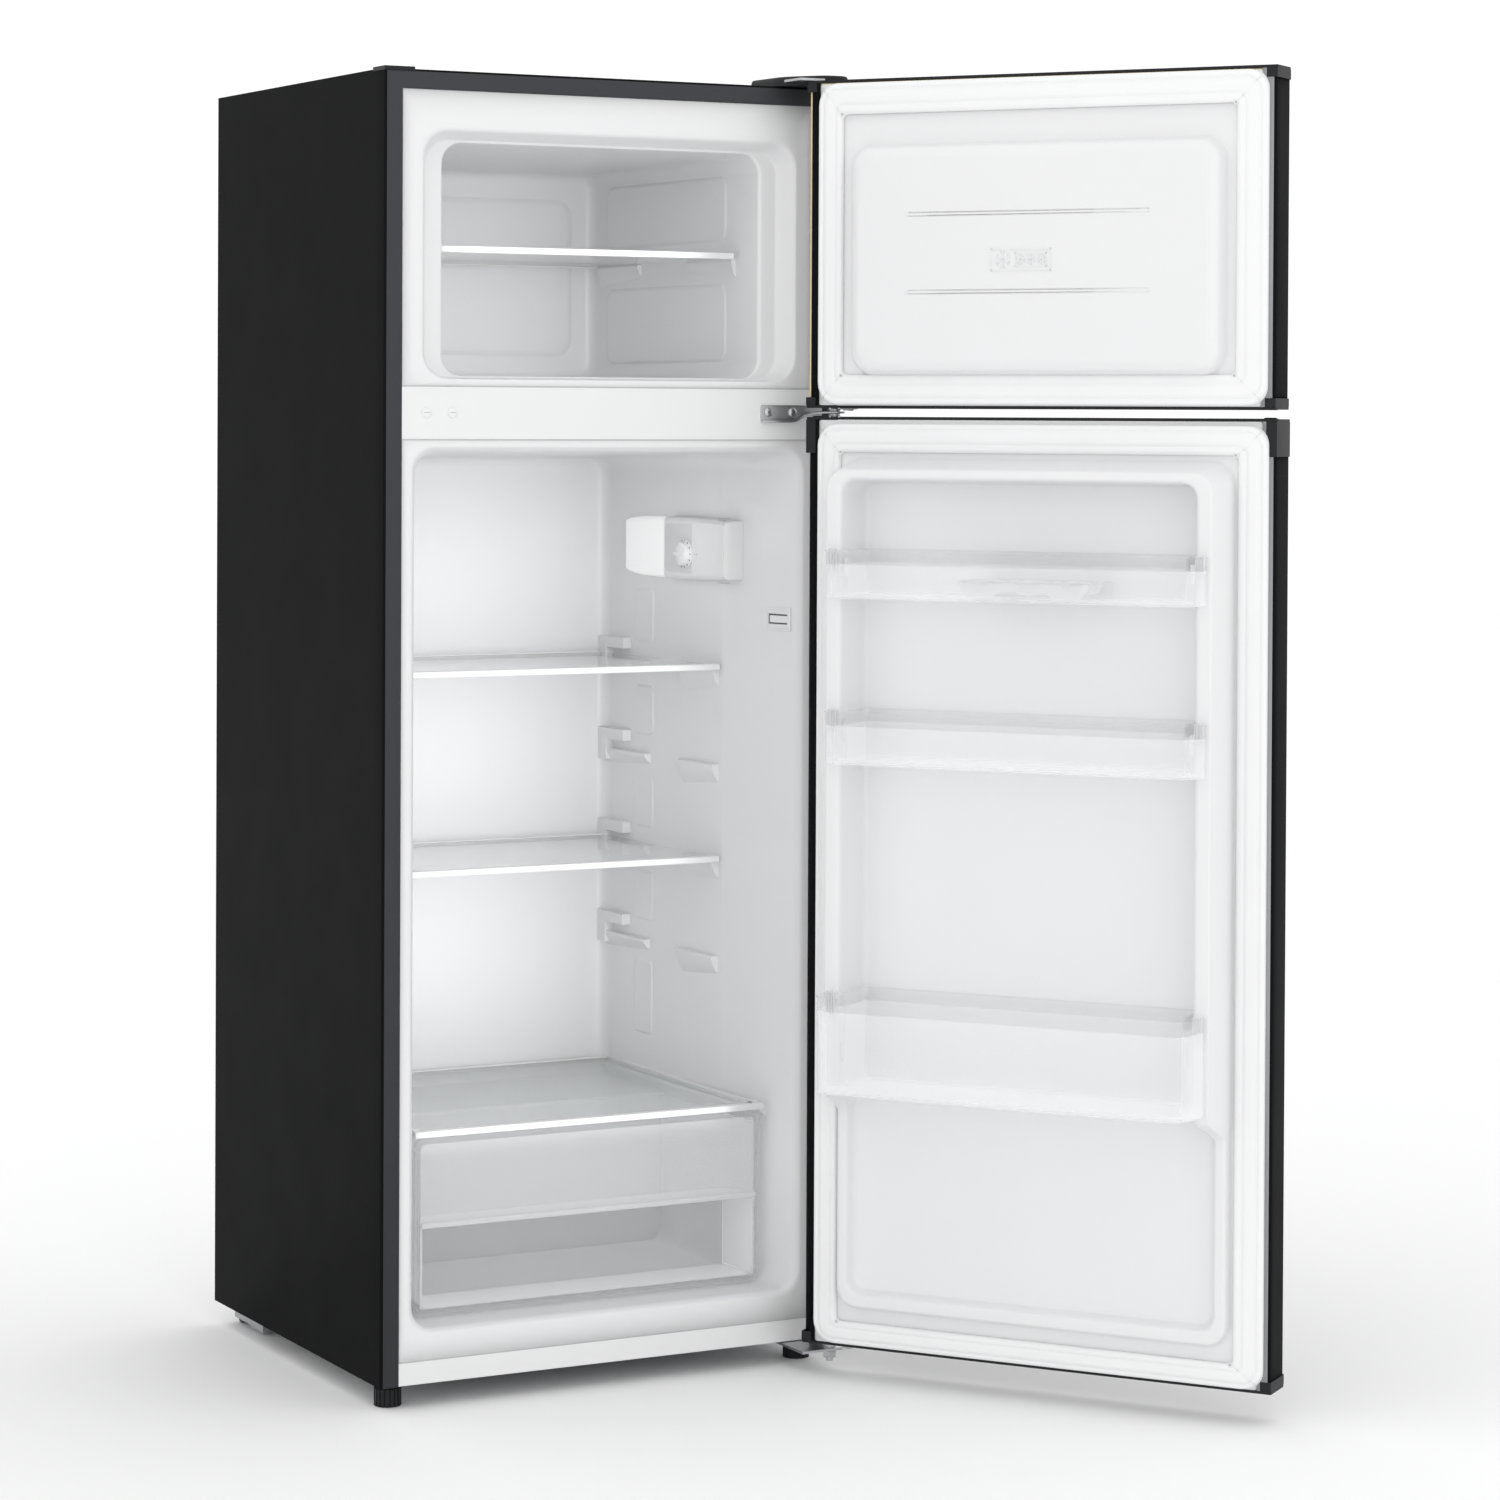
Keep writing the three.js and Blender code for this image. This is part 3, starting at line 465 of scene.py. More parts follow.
def build_case():
    bend = 2
    lap = FRONT + 1.4
    section = [(0, BACK), (0, BACK - 2), (0, 60), (0, FRONT + 24)]
    section += [(bend * (1 - cos(a)), FRONT + bend * (1 - sin(a)))
                for a in (0, pi / 8, pi / 4, 3 * pi / 8, pi / 2)]
    section += [(FLANGE - 0.8, FRONT), (FLANGE, FRONT + 0.6), (FLANGE, lap)]
    stations = []
    for side, low in ((-1, CASE_BOTTOM), (-1, None), (1, None), (1, CASE_BOTTOM)):
        stations.append([(side * (HALF_WIDTH - d), y, CASE_TOP - d if low is None else low) for d,
                         y in section])
    marks = []
    case = Shape()
    count = len(section)
    faces = []
    for k in range(3):
        for i in range(count - 1):
            faces.append([k * count + i, (k + 1) * count + i, (k + 1) * count + i + 1, k * count + i + 1])
            # Faces of the front flange take the lighter, painted-light copy of the paint.
            marks.append(1 if section[i][0] >= bend * 0.9 else 0)
    case.add([p for s in stations for p in s], faces, marks)
    case.fixed("case_shell", [PAINT, FLANGE_PAINTED_LIGHT], "charcoal_steel", ["outer_case"], sheet=STEEL_SHEET)

    seams = Shape()
    for side in (-1, 1):
        outer = Vector((side * (HALF_WIDTH - 1.2), CASE_TOP - 1.2))
        inner = Vector((side * (HALF_WIDTH - FLANGE), CASE_TOP - FLANGE))
        across = Vector((0.35, side * 0.35))
        seams.prism([outer + across, inner + across, inner - across, outer - across], "y", FRONT - 0.12,
                    FRONT + 0.5)
    seams.fixed("case_corner_seams", [DARK_MARK], "charcoal_steel")


def build_rear():
    low, high = 237.5, 1437.2
    inner = HALF_WIDTH - 1.6
    rear = Shape()

    def bulge(x0, x1, z0, z1, depth):
        keys = fillet([(0, 0), (9, 0), (16, depth), (26, depth)], [5, 5], 3)
        middle_x, half_x = (x0 + x1) / 2, (x1 - x0) / 2
        rings = []
        for inset, out in keys:
            half = half_x - inset
            rings.append([(middle_x + x, y, z) for x, y, z in
                          ring(half, z0 + inset, z1 - inset, max(2, 22 - inset * 0.6), BACK - 1.5 + out)])
        rear.loft(rings, caps=(False, True), flip=True)

    for x0, x1 in ((-inner + 10, -8), (8, inner - 10)):
        for z0, z1 in ((270, 640), (656, 1026), (1042, 1412)):
            bulge(x0, x1, z0, z1, 1.2)
    rear.block(-inner, inner, BACK - 2.4, BACK - 1.45, low, high)
    rear.fixed("rear_sheet", [GALVANISED], "galvanised_steel", ["rear_panel"])

    screws = Shape()
    places = [(x, z) for x in (-inner + 5, inner - 5) for z in (250, 540, 830, 1120, 1400)]
    places += [(x, 248) for x in (-180, -60, 60, 180)]
    for x, z in places:
        screws.lathe([(4.2, -1.5), (4.2, -0.5), (3.2, -0.1), (1.2, 0)], (x, BACK, z), "y", 16)
    screws.fixed("rear_screws", [ZINC], "zinc_steel")


def recess_panel(shape, x0, x1, z0, z1, r, y, proud, soft):
    """Soft raised field on a surface that faces the front."""
    cx, half = (x0 + x1) / 2, (x1 - x0) / 2
    rings = []
    for inset, out in soft_edge(proud, soft):
        rings.append([(cx + x, yy, z) for x, yy, z in
                      ring(half - inset, z0 + inset, z1 - inset, max(1, r - inset * 0.7), y - out)])
    shape.loft(rings, caps=(False, True))


def wall_panel(shape, side, wall, y0, y1, z0, z1, r, proud, soft=4, facing=1):
    """Soft raised field on a wall whose X at a given Y is wall(y); facing -1 turns it away from X = 0."""
    cy, half = (y0 + y1) / 2, (y1 - y0) / 2
    rings = []
    for inset, out in soft_edge(proud, soft):
        made = []
        for a, _, z in ring(half - inset, z0 + inset, z1 - inset, max(1, r - inset * 0.7), 0):
            y = cy + a
            made.append((side * (wall(y) - facing * out), y, z))
        rings.append(made)
    shape.loft(rings, caps=(False, True), flip=side > 0)


def between(y, stations):
    """Half-width at y on a line through (y, half-width) stations."""
    for (y0, w0), (y1, w1) in zip(stations, stations[1:]):
        if y <= y1:
            return w0 + (w1 - w0) * max(0, (y - y0)) / (y1 - y0)
    return stations[-1][1]


def freezer_wall(y):
    return between(y, [(-222, 194.5), (190, 187)])


def fridge_wall(y):
    return between(y, [(-240, 233.5), (-109, 210.5), (190, 206.5)])


def rib(shape, wall, side, y0, y1, top, depth_front, depth_back, proud):
    """Shelf support on a side wall: flat top, underside sloping back into the wall."""
    steps = 6
    rings = []
    for k in range(steps + 1):
        y = y0 + (y1 - y0) * k / steps
        depth = depth_front + (depth_back - depth_front) * k / steps
        x = wall(y)
        section = [(x + 1.2, top), (x - proud + 1, top), (x - proud, top - 1), (x - proud, top - 3.5),
                   (x - proud * 0.45, top - depth * 0.7), (x + 1.2, top - depth)]
        rings.append([(side * a, y, z) for a, z in section])
    shape.loft(rings)


def build_freezer_liner():
    keys = fillet([
        (252.2, 1100.3, 1418.7, 0.8, -247.7),
        (227.5, 1108.2, 1376, 30, -247.7),
        (216, 1110, 1367, 26, -224),
        (194, 1111.8, 1364.2, 23, -223),
        (187, 1113, 1360, 18, 188),
        (160, 1140, 1333, 12, 190),
    ], [5, 3, 5, 18], 7)
    liner = Shape()
    liner.loft([ring(*key) for key in keys], caps=(False, True))
    liner.fixed("freezer_compartment", [LINER_PLASTIC], "white_liner", ["freezer_liner"], sheet=LINER_SHEET,
                angle=50)

    fields = Shape()
    recess_panel(fields, -160, 160, 1140, 1330, 22, 190, 2.4, soft=6)
    for side in (-1, 1):
        for z0, z1 in ((1268, 1345), (1130, 1222)):
            wall_panel(fields, side, freezer_wall, -150, 150, z0, z1, 16, 2)
        rib(fields, freezer_wall, side, -170, -60, 1248.4, 24, 16, 6)
        rib(fields, freezer_wall, side, 60, 165, 1248.4, 16, 26, 6)
    fields.fixed("freezer_wall_forms", [LINER_PLASTIC], "white_liner", angle=60)


SHELF_LEVELS = (778, 667, 556, 445)


def build_fridge_liner():
    keys = fillet([
        (252.2, 50.3, 1042.7, 0.8, -247.7),
        (239.5, 79.5, 1034.5, 27, -247.7),
        (233.5, 83, 1029, 24, -240),
        (210.5, 84, 1026, 22, -109),
        (206.5, 85, 1020, 20, 188),
        (182, 110, 995, 12, 190),
    ], [5, 4, 4, 20], 6)
    liner = Shape()
    liner.loft([ring(*key) for key in keys], caps=(False, True))
    liner.fixed("fridge_compartment", [LINER_PLASTIC], "white_liner", ["fridge_liner"], sheet=LINER_SHEET,
                angle=50)

    step = Shape()
    profile = round_outline([(25, 83), (25, 268.6), (191, 268.6), (191, 83)], [1, 3, 1, 1], 6)
    step.prism(profile, "x", -206.9, 206.9)
    step.fixed("fridge_liner_step", [LINER_PLASTIC], "white_liner", angle=60)

    forms = Shape()
    for side in (-1, 1):
        for level in SHELF_LEVELS:
            rib(forms, fridge_wall, side, -101, -16, level - 0.5, 22, 30, 9)
            rib(forms, fridge_wall, side, 68, 186, level - 0.5, 13, 20, 9)
            x0, x1 = sorted((side * (fridge_wall(176) + 1.2), side * (fridge_wall(176) - 10)))
            forms.block(x0, x1, 166, 188, level - 14, level + 24)
            forms.block(x0, x1, 120, 167, level + 11, level + 24)
        for low, high in ((799, 863), (688, 748), (577, 637), (466, 526), (330, 420)):
            wall_panel(forms, side, fridge_wall, 60, 108, low, high, 9, 1.3, soft=2.4)
        rib(forms, fridge_wall, side, -190, 180, 283.4, 12, 12, 8)
    forms.fixed("fridge_wall_forms", [LINER_PLASTIC], "white_liner", bevel=1.3, segments=3)


def phillips(shape, x, y, z, r):
    """Cross-head screw whose face looks to the front."""
    shape.lathe([(r * 0.9, 0), (r, -0.4), (r, -1.3), (r * 0.86, -2), (r * 0.5, -2.5), (r * 0.2, -2.6)],
                (x, y, z), "y", 24)
    # The cross is a dark plate laid on the head: painted shade where the cross recess would be.
    for turn in (pi / 4, 3 * pi / 4):
        along = Vector((cos(turn), sin(turn))) * (r * 0.5)
        across = Vector((-sin(turn), cos(turn))) * (r * 0.11)
        at = Vector((x, z))
        shape.prism([at + along + across, at - along + across, at - along - across, at + along - across],
                    "y", y - 2.75, y - 2.2, 1)


def build_front_strips():
    low, high = MULLION_LOW, MULLION_HIGH
    strip = HALF_WIDTH - FLANGE - 0.3
    for name, node, z0, z1 in (("mullion_front", "mullion_cover", low, high),
                               ("kick_front", "kick_strip", CASE_BOTTOM + 0.3, KICK_TOP)):
        bar = Shape().block(-strip, strip, FRONT + 0.1, FRONT + 2.3, z0, z1)
        bar.fixed(name, [WHITE_PLASTIC], "white_plastic", [node], bevel=0.7)
    seams = Shape()
    for z in (low, high, KICK_TOP + 0.15):
        seams.block(-strip, strip, FRONT - 0.02, FRONT + 1.2, z - 0.4, z + 0.4)
    seams.fixed("front_seams", [SOFT_MARK], "white_plastic")

    for number, x in enumerate((-223, -192.5), 1):
        plug = Shape()
        plug.lathe([(5.8, 0), (5.8, -0.7), (5.2, -1.3), (4.2, -1.55), (1, -1.6)], (x, FRONT, 1072), "y", 28)
        plug.block(x - 3.4, x + 3.4, FRONT - 1.68, FRONT - 1.2, 1071.6, 1072.4, 1)
        plug.fixed(f"hole_plug_{number}", [WHITE_PLASTIC, SOFT_MARK], "white_plastic",
                   [f"hinge_hole_plug_{number}"])


build_case()
build_rear()
build_freezer_liner()
build_fridge_liner()
build_front_strips()


# ---- doors --------------------------------------------------------------------------------
CAP = 3
HOLE_Y = -249.4


def build_door_skin(name, where, low, high):
    r = 6
    arc = [(r * cos(pi * k / 10), r * sin(pi * k / 10)) for k in range(6)]
    outer = [(HALF_WIDTH - r + a, DOOR_OUTER + r - b) for a, b in arc]
    hinge_side = [(258.5, DOOR_INNER + 0.05), (263.5, DOOR_INNER + 0.05), (267.5, DOOR_INNER - 1.6),
                  (270.8, DOOR_INNER - 5), (HALF_WIDTH, DOOR_INNER - 11), (HALF_WIDTH, DOOR_INNER - 18),
                  *outer]
    free_side = [(-x, y) for x, y in reversed(outer)]
    free_side += [(-HALF_WIDTH, DOOR_INNER - 12), (-HALF_WIDTH, DOOR_INNER - 1.6),
                  (-271.9, DOOR_INNER - 0.3), (-270.6, DOOR_INNER + 0.05), (-258.5, DOOR_INNER + 0.05)]
    plan = hinge_side + free_side
    skin = Shape()
    skin.loft([[(x, y, z) for x, y in plan] for z in (low + CAP + 0.3, high - CAP - 0.3)], closed=False,
              caps=(False, False))
    spans = len(plan) - 1
    # The last span, the return strip, takes the light grey painted reflection.
    skin.marks = [0] * (spans - 1) + [1]
    skin.piece(f"{name}_sheet", name, where, [PAINT, RETURN_PAINTED_REFLECTION], "charcoal_steel", [f"{name}_skin"],
               sheet=STEEL_SHEET, angle=50)


def build_grip(name, where, low, high):
    """Dark finger recess on the free side of a door."""
    outline = round_outline(rectangle(-294, -280, low, high), 2.5)
    grip = Shape().prism(outline, "x", -HALF_WIDTH - 0.35, -HALF_WIDTH + 0.2)
    grip.piece(f"{name}_grip", name, where, [DARK_MARK], "black_plastic", bevel=0.15)


def build_door_cap(name, which, where, z, up, skirt):
    side = HALF_WIDTH + 1.8
    front = DOOR_OUTER - 1.5
    cap = Shape()
    plate = round_outline([(-side, front), (side, front), (side, DOOR_INNER), (-side, DOOR_INNER)],
                          [7, 7, 2, 2], 6)
    cap.prism(plate, "z", *sorted((z, z - up * CAP)))
    for y0, y1 in ((front + 5, front + 7), (DOOR_INNER - 9, DOOR_INNER - 7)):
        x1 = 236 if name == "freezer_door" or which == "top" else 232
        cap.block(-side + 12, x1, y0, y1, *sorted((z + up * 0.5, z - up * 0.5)))
    for s in (-1, 1):
        corner = [(s * x, y) for x, y in [(262.4, front), (side, front), (side, DOOR_INNER + 1.2),
                                          (262.4, DOOR_INNER + 1.2), (262.4, DOOR_INNER + 0.3),
                                          (HALF_WIDTH + 0.3, DOOR_INNER + 0.3),
                                          (HALF_WIDTH + 0.3, DOOR_OUTER - 0.3), (262.4, DOOR_OUTER - 0.3)]]
        cap.prism(round_outline(corner, [0.4, 7, 1, 0.2, 0.2, 0.2, 5.6, 0.2], 6), "z",
                  *sorted((z - up * CAP, z - up * skirt)))
    cap.piece(f"{name}_{which}_moulding", name, where, [BLACK_PLASTIC], "black_plastic",
              [f"{name}_{which}_cap"], bevel=0.45)


def build_gasket(name, where, outer, inner):
    outer, inner = Vector(outer), Vector(inner)
    section = [(0.0, -255.7, 20), (-0.006, -253.6, 22), (0.0, -251.6, 24), (0.035, -249.8, 24),
               (0.1, -249.0, 23), (0.17, -249.1, 20), (0.2, -249.9, 17), (0.225, -249.9, 16),
               (0.25, -249.0, 16), (0.4, -248.8, 14), (0.56, -248.75, 12), (0.68, -249.0, 10),
               (0.7, -249.7, 10), (0.73, -249.7, 9), (0.76, -249.0, 9), (0.88, -249.2, 8),
               (0.96, -250.3, 7), (1.0, -252.0, 6), (1.0, -255.7, 6)]
    rings = []
    for share, y, r in section:
        hw, low, high = outer.lerp(inner, share)
        aside = 1 + 3 * (1 - share)
        rings.append([(x - aside, yy, z) for x, yy, z in ring(hw, low, high, r, y)])
    seal = Shape().loft(rings, wrap=True)
    seal.piece(f"{name}_seal", name, where, [GASKET_RUBBER], "white_gasket", [f"{name}_gasket"], angle=60)

    marks = Shape()
    for sx in (-1, 1):
        for near, far in ((outer[1], inner[1]), (outer[2], inner[2])):
            away = 1 if near < far else -1
            a = Vector((sx * (outer[0] - 5) - 4, near + away * 5))
            b = Vector((sx * (inner[0] + 1) - 1, far - away))
            across = Vector((0.16, -sx * away * 0.16))
            marks.prism([a + across, b + across, b - across, a - across], "y", -249.6, -248.72)
    marks.piece(f"{name}_seal_mitres", name, where, [SOFT_MARK], "white_gasket")


def door_holes(name, where, places):
    holes = Shape()
    for x, z in places:
        holes.lathe([(2.4, 0), (2.6, 0.7), (1.6, 0.8), (1.5, 0.3)], (x, HOLE_Y, z), "y", 16)
        # The grey disc inside each rim is painted shade standing in for the hole.
        holes.lathe([(1.3, 0), (1.3, 0.55)], (x, HOLE_Y, z), "y", 16, 1)
    holes.piece(f"{name}_corner_holes", name, where, [WHITE_PLASTIC, SOFT_MARK], "white_plastic")


def field(shape, x0, x1, z0, z1, r, y, proud, soft):
    """Soft raised field on a door surface that faces the cabinet."""
    cx, half = (x0 + x1) / 2, (x1 - x0) / 2
    rings = []
    for inset, out in soft_edge(proud, soft, 0.3, 1.8):
        rings.append([(cx + x, yy, z) for x, yy, z in
                      ring(half - inset, z0 + inset, z1 - inset, max(0.4, r - inset * 0.7), y + out)])
    shape.loft(rings, caps=(False, True), flip=True)


def snowflake(shape, x, z, size, y):
    """Six-armed frost mark of thin raised bars."""
    for arm in range(3):
        a = radians(60 * arm + 30)
        along = Vector((cos(a), sin(a)))
        across = Vector((-sin(a), cos(a))) * 0.55
        at = Vector((x, z))
        shape.prism([at + along * size + across, at - along * size + across, at - along * size - across,
                     at + along * size - across], "y", y - 0.5, y + 0.9)
        for way in (-1, 1):
            for bend in (-1, 1):
                tip = at + along * (size * way)
                root = at + along * (size * 0.55 * way)
                side = Vector((-sin(a), cos(a))) * (size * 0.3 * bend)
                thin = along * 0.35
                shape.prism([root + thin, tip + side + thin, tip + side - thin, root - thin], "y", y - 0.5,
                            y + 0.85)


def build_freezer_door():
    name, where = "freezer_door", FREEZER_DOOR
    low, high = FREEZER_DOOR_SPAN
    build_door_skin(name, where, low, high)
    build_door_cap(name, "top", where, high, 1, 13)
    build_door_cap(name, "bottom", where, low, -1, 12)
    build_gasket(name, where, (262, 1083, 1438.6), (230, 1116, 1404))
    keys = fillet([(258.2, low + 3.3, high - 4.6, 3, DOOR_LINER_FACE),
                   (217.5, 1114.5, 1369.5, 25, DOOR_LINER_FACE), (213.5, 1119, 1365, 23, -236),
                   (204, 1129, 1355, 20, -232), (150, 1180, 1304, 12, -232)], [5, 6, 7], 6)
    liner = Shape()
    rings = [ring(*key, steps=9) for key in keys]
    shifted = [[(x - 2.5, y, z) for x, y, z in r] for r in rings[1:]]
    liner.loft([rings[0]] + shifted, caps=(False, True), flip=True)
    liner.piece(f"{name}_panel", name, where, [LINER_PLASTIC], "white_liner", [f"{name}_liner"],
                sheet=LINER_SHEET, angle=60)

    forms = Shape()
    y = -232
    for z in (1206, 1291):
        field(forms, -145, 145, z - 4, z + 4, 3.8, y, 0.35, soft=3.6)
    emblem = (-28, 42, 1228, 1252)
    snow_frame = (-23, 14, 1232.5, 1247.5)
    for (x0, x1, z0, z1), proud in ((emblem, 1.0), (snow_frame, 0.8)):
        for a, b, c, d in ((x0, x1, z0, z0 + 1.2), (x0, x1, z1 - 1.2, z1), (x0, x0 + 1.2, z0, z1),
                           (x1 - 1.2, x1, z0, z1)):
            forms.block(a, b, y - 0.5, y + proud, c, d)
    snowflake(forms, 28, 1240, 9, y)
    for x in (7.5, -4.5, -16.5):
        snowflake(forms, x, 1240, 5, y)
    forms.piece(f"{name}_panel_forms", name, where, [LINER_PLASTIC], "white_liner", angle=60)
    door_holes(name, where, [(sx * 229.5 - 1, z) for sx in (-1, 1) for z in (1404, 1115)])

    build_grip(name, where, 1244, 1271)

    stop = Shape()
    stop.prism(round_outline([(228, -296), (246, -296), (246, -283), (228, -283)], [3, 3, 1, 1]), "z",
               1077.4, low - 0.05)
    stop.prism(round_outline([(238, -297), (246, -297), (246, -292), (238, -292)], 1, 3), "z", 1076.3,
               1077.6)
    stop.lathe([(3, 0), (3, -0.9), (2.3, -1.4), (1, -1.5)], (234, -288, 1077.5), "z", 20)
    stop.piece(f"{name}_stop", name, where, [ZINC], "zinc_steel", bevel=0.3)


def smooth(edge0, edge1, value):
    t = max(0, min(1, (value - edge0) / (edge1 - edge0)))
    return t * t * (3 - 2 * t)


def dyke_side(y):
    """Half-width of the tall dyke's outer side."""
    return between(y, [(-256, 229), (-199.5, 223)])


def build_fridge_door_liner(where, low, high):
    name = "fridge_door"
    back = DOOR_LINER_FACE
    tall = fillet([(258.2, low + 3.3, high - 3.3, 3, back), (229, 84, 1023, 26, back),
                   (223, 96, 1013, 22, -199.5), (222, 100, 1009.5, 20, -198), (208, 106, 1003.5, 18, -198),
                   (204.5, 107, 1000.5, 16, -201), (201, 108, 997, 15, back), (150, 112, 990, 8, back)],
                  [6, 4, 3, 3, 4, 7], 4)
    short = fillet([(258.2, low + 3.3, high - 3.3, 3, back), (228.5, 80.5, 1023, 26, back),
                    (226.5, 83, 1013, 22, -244), (224, 85.5, 1009.5, 20, -242), (216, 96, 1003.5, 18, -242),
                    (213.5, 99, 1000.5, 16, -244), (211, 102, 997, 15, back), (150, 112, 990, 8, back)],
                   [6, 4, 3, 3, 4, 7], 4)
    levels = [130, 200, 270, 290, 296, 300, 303, 306, 309, 312, 315, 318, 321, 324, 327, 330, 333, 337, 345,
              400, 520, 640, 760, 880, 960]
    rings = []
    for high_key, low_key in zip(tall, short):
        upper, lower = ring(*high_key, levels), ring(*low_key, levels)
        made = []
        for a, b in zip(upper, lower):
            share = smooth(300, 330, (a[2] + b[2]) / 2)
            made.append(tuple(Vector(b).lerp(Vector(a), share)))
        rings.append(made)
    liner = Shape()
    liner.loft(rings, caps=(False, True), flip=True)
    liner.piece(f"{name}_panel", name, where, [LINER_PLASTIC], "white_liner", [f"{name}_liner"],
                sheet=LINER_SHEET, angle=60)

    forms = Shape()
    wall_panel(forms, -1, dyke_side, -246, -212, 344, 985, 12, -1.2, soft=3, facing=-1)
    for z in (905, 725, 372):
        for side in (-1, 1):
            x0, x1 = sorted((side * 197.5, side * 203.5))
            forms.prism(round_outline([(-240, z - 12), (-206, z - 12), (-202, z - 6), (-202, z + 10),
                                       (-240, z + 10)], [1, 3, 3, 2, 1], 3), "x", x0, x1)
    forms.piece(f"{name}_panel_forms", name, where, [LINER_PLASTIC], "white_liner", bevel=0.5)


def build_fridge_door():
    name, where = "fridge_door", FRIDGE_DOOR
    low, high = FRIDGE_DOOR_SPAN
    build_door_skin(name, where, low, high)
    build_door_cap(name, "top", where, high, 1, 40)
    build_door_cap(name, "bottom", where, low, -1, 13)
    build_gasket(name, where, (262, 39, 1062), (232, 64, 1030))
    build_fridge_door_liner(where, low, high)
    door_holes(name, where, [(sx * 230 - 1, z) for sx in (-1, 1) for z in (1030.5, 64)])

    plan = [(-270.8, -300.6), (270.8, -300.6), (270.8, -270), (260, -259), (-270.8, -259)]
    foam = Shape().prism(round_outline(plan, [6, 6, 3, 3, 2]), "z", low + 4, high - 4)
    foam.piece(f"{name}_foam", name, where, [FOAM], "insulation_foam", [f"{name}_insulation"])

    build_grip(name, where, 959, 987)

    plug = Shape()
    plug.lathe([(7, -1), (7, 0.8), (6.2, 1.5), (3.4, 1.6), (3.2, 0.9), (2.4, 0.8)],
               (-HINGE_X, HINGE_Y, high), "z", 28)
    plug.piece(f"{name}_top_plug", name, where, [BLACK_PLASTIC], "black_plastic")

    stop = Shape()
    under = [(197, 31.7), (197, 29.5), (203, 28.2), (209, 29.8), (215, 28.4), (221, 29.2), (226, 26.6),
             (236, 26.2), (237, 28), (237, 31.7)]
    stop.prism(round_outline(under, 1.6), "y", -297.5, -282.5)
    stop.piece("fridge_door_stop_piece", name, where, [GREY_PLASTIC], "grey_plastic", ["fridge_door_stop"],
               bevel=0.6)


def bin_plan(front, inset):
    wide, nose, neck = 219 - inset, 205 - inset, 197 - inset
    step, back, y = -196 + inset, -253 + inset, front - inset
    corners = [(neck, back), (neck, step), (wide, step), (wide - 4, y - 16), (nose - 1, y)]
    radii = [7, 1.2, 2.5, 9, 14]
    outline = corners + [(-a, b) for a, b in reversed(corners)]
    return round_outline(outline, radii + radii[::-1], 6)


def build_bin(name, front, low, high):
    wall = 2
    band = high - 15
    profile = [(2.6, low, 0), (1.0, low + 0.8, 0), (0.5, low + 3.4, 0), (0.5, band - 1.2, 0),
               (0.0, band - 0.2, 1), (-0.2, high - 1.8, 1), (-0.9, high - 1.4, 1), (-0.9, high - 0.3, 1),
               (-0.2, high, 1), (wall, high, 1), (wall, band, 0), (wall + 0.4, low + 5, 0),
               (wall + 3.5, low + 2.2, 0)]
    shell = Shape()
    shell.loft([[(x, y, z) for x, y in bin_plan(front, inset)] for inset, z, _ in profile],
               marks=[mark for _, _, mark in profile])
    for side in (-1, 1):
        for k in range(4):
            x = side * 207 + side * (k * 2.9)
            shell.block(*sorted((x, x + side * 1.1)), -194, -190.6, band - 9, high + 1.2, 2)
        shell.block(*sorted((side * 205.4, side * 217.6)), -190.9, -183, high - 1.4, high - 0.2, 1)
    shell.piece(f"{name}_shell", name, FRIDGE_DOOR, [FROSTED, CLEAR, CLOUDY], "clear_plastic", [name],
                angle=30)


def build_egg_tray():
    """Clear sheet with six cups, standing on two trapezoid legs."""
    tray = Shape()
    x0, x1, y0, y1, top = -96, 56, -247, -170, 894
    rim = round_outline(rectangle(x0, x1, y0, y1), 8, 5)
    cx, cy = (x0 + x1) / 2, (y0 + y1) / 2
    mids = [(cx + (x - cx) * 0.975, cy + (y - cy) * 0.975) for x, y in rim]
    tray.stack([rim, rim, mids, mids], "z", [top - 2.4, top, top, top - 1])
    for y in (-228, -189):
        for x in (-70, -20, 30):
            cup = [(20, -0.4), (18.6, -1.2), (17, -5), (13.5, -10), (8, -13), (3, -14), (3, -14.8),
                   (8.6, -14), (14.3, -11), (18, -5.4), (20, -1.6)]
            tray.lathe(cup, (x, y, top), "z", 28, 1, wrap=True)
    for y in (-172.5, -246):
        leg = [(x0 + 1, top - 1), (x0 + 7, 880), (x0 + 14, 875.2), (x0 + 40, 875.2), (x0 + 48, 882),
               (x1 - 48, 882), (x1 - 40, 875.2), (x1 - 14, 875.2), (x1 - 7, 880), (x1 - 1, top - 1)]
        tray.prism(round_outline(leg, 1.5, 3), "y", y, y + 1.4, 1)
    tray.piece("egg_tray_shell", "egg_tray", FRIDGE_DOOR, [CLEAR, CLOUDY], "clear_plastic", ["egg_tray"],
               angle=40)


build_freezer_door()
build_fridge_door()
build_bin("upper_bin", -165, 872, 924)
build_bin("middle_bin", -165, 691, 748)
build_bin("bottle_bin", -146, 334, 439)
build_egg_tray()


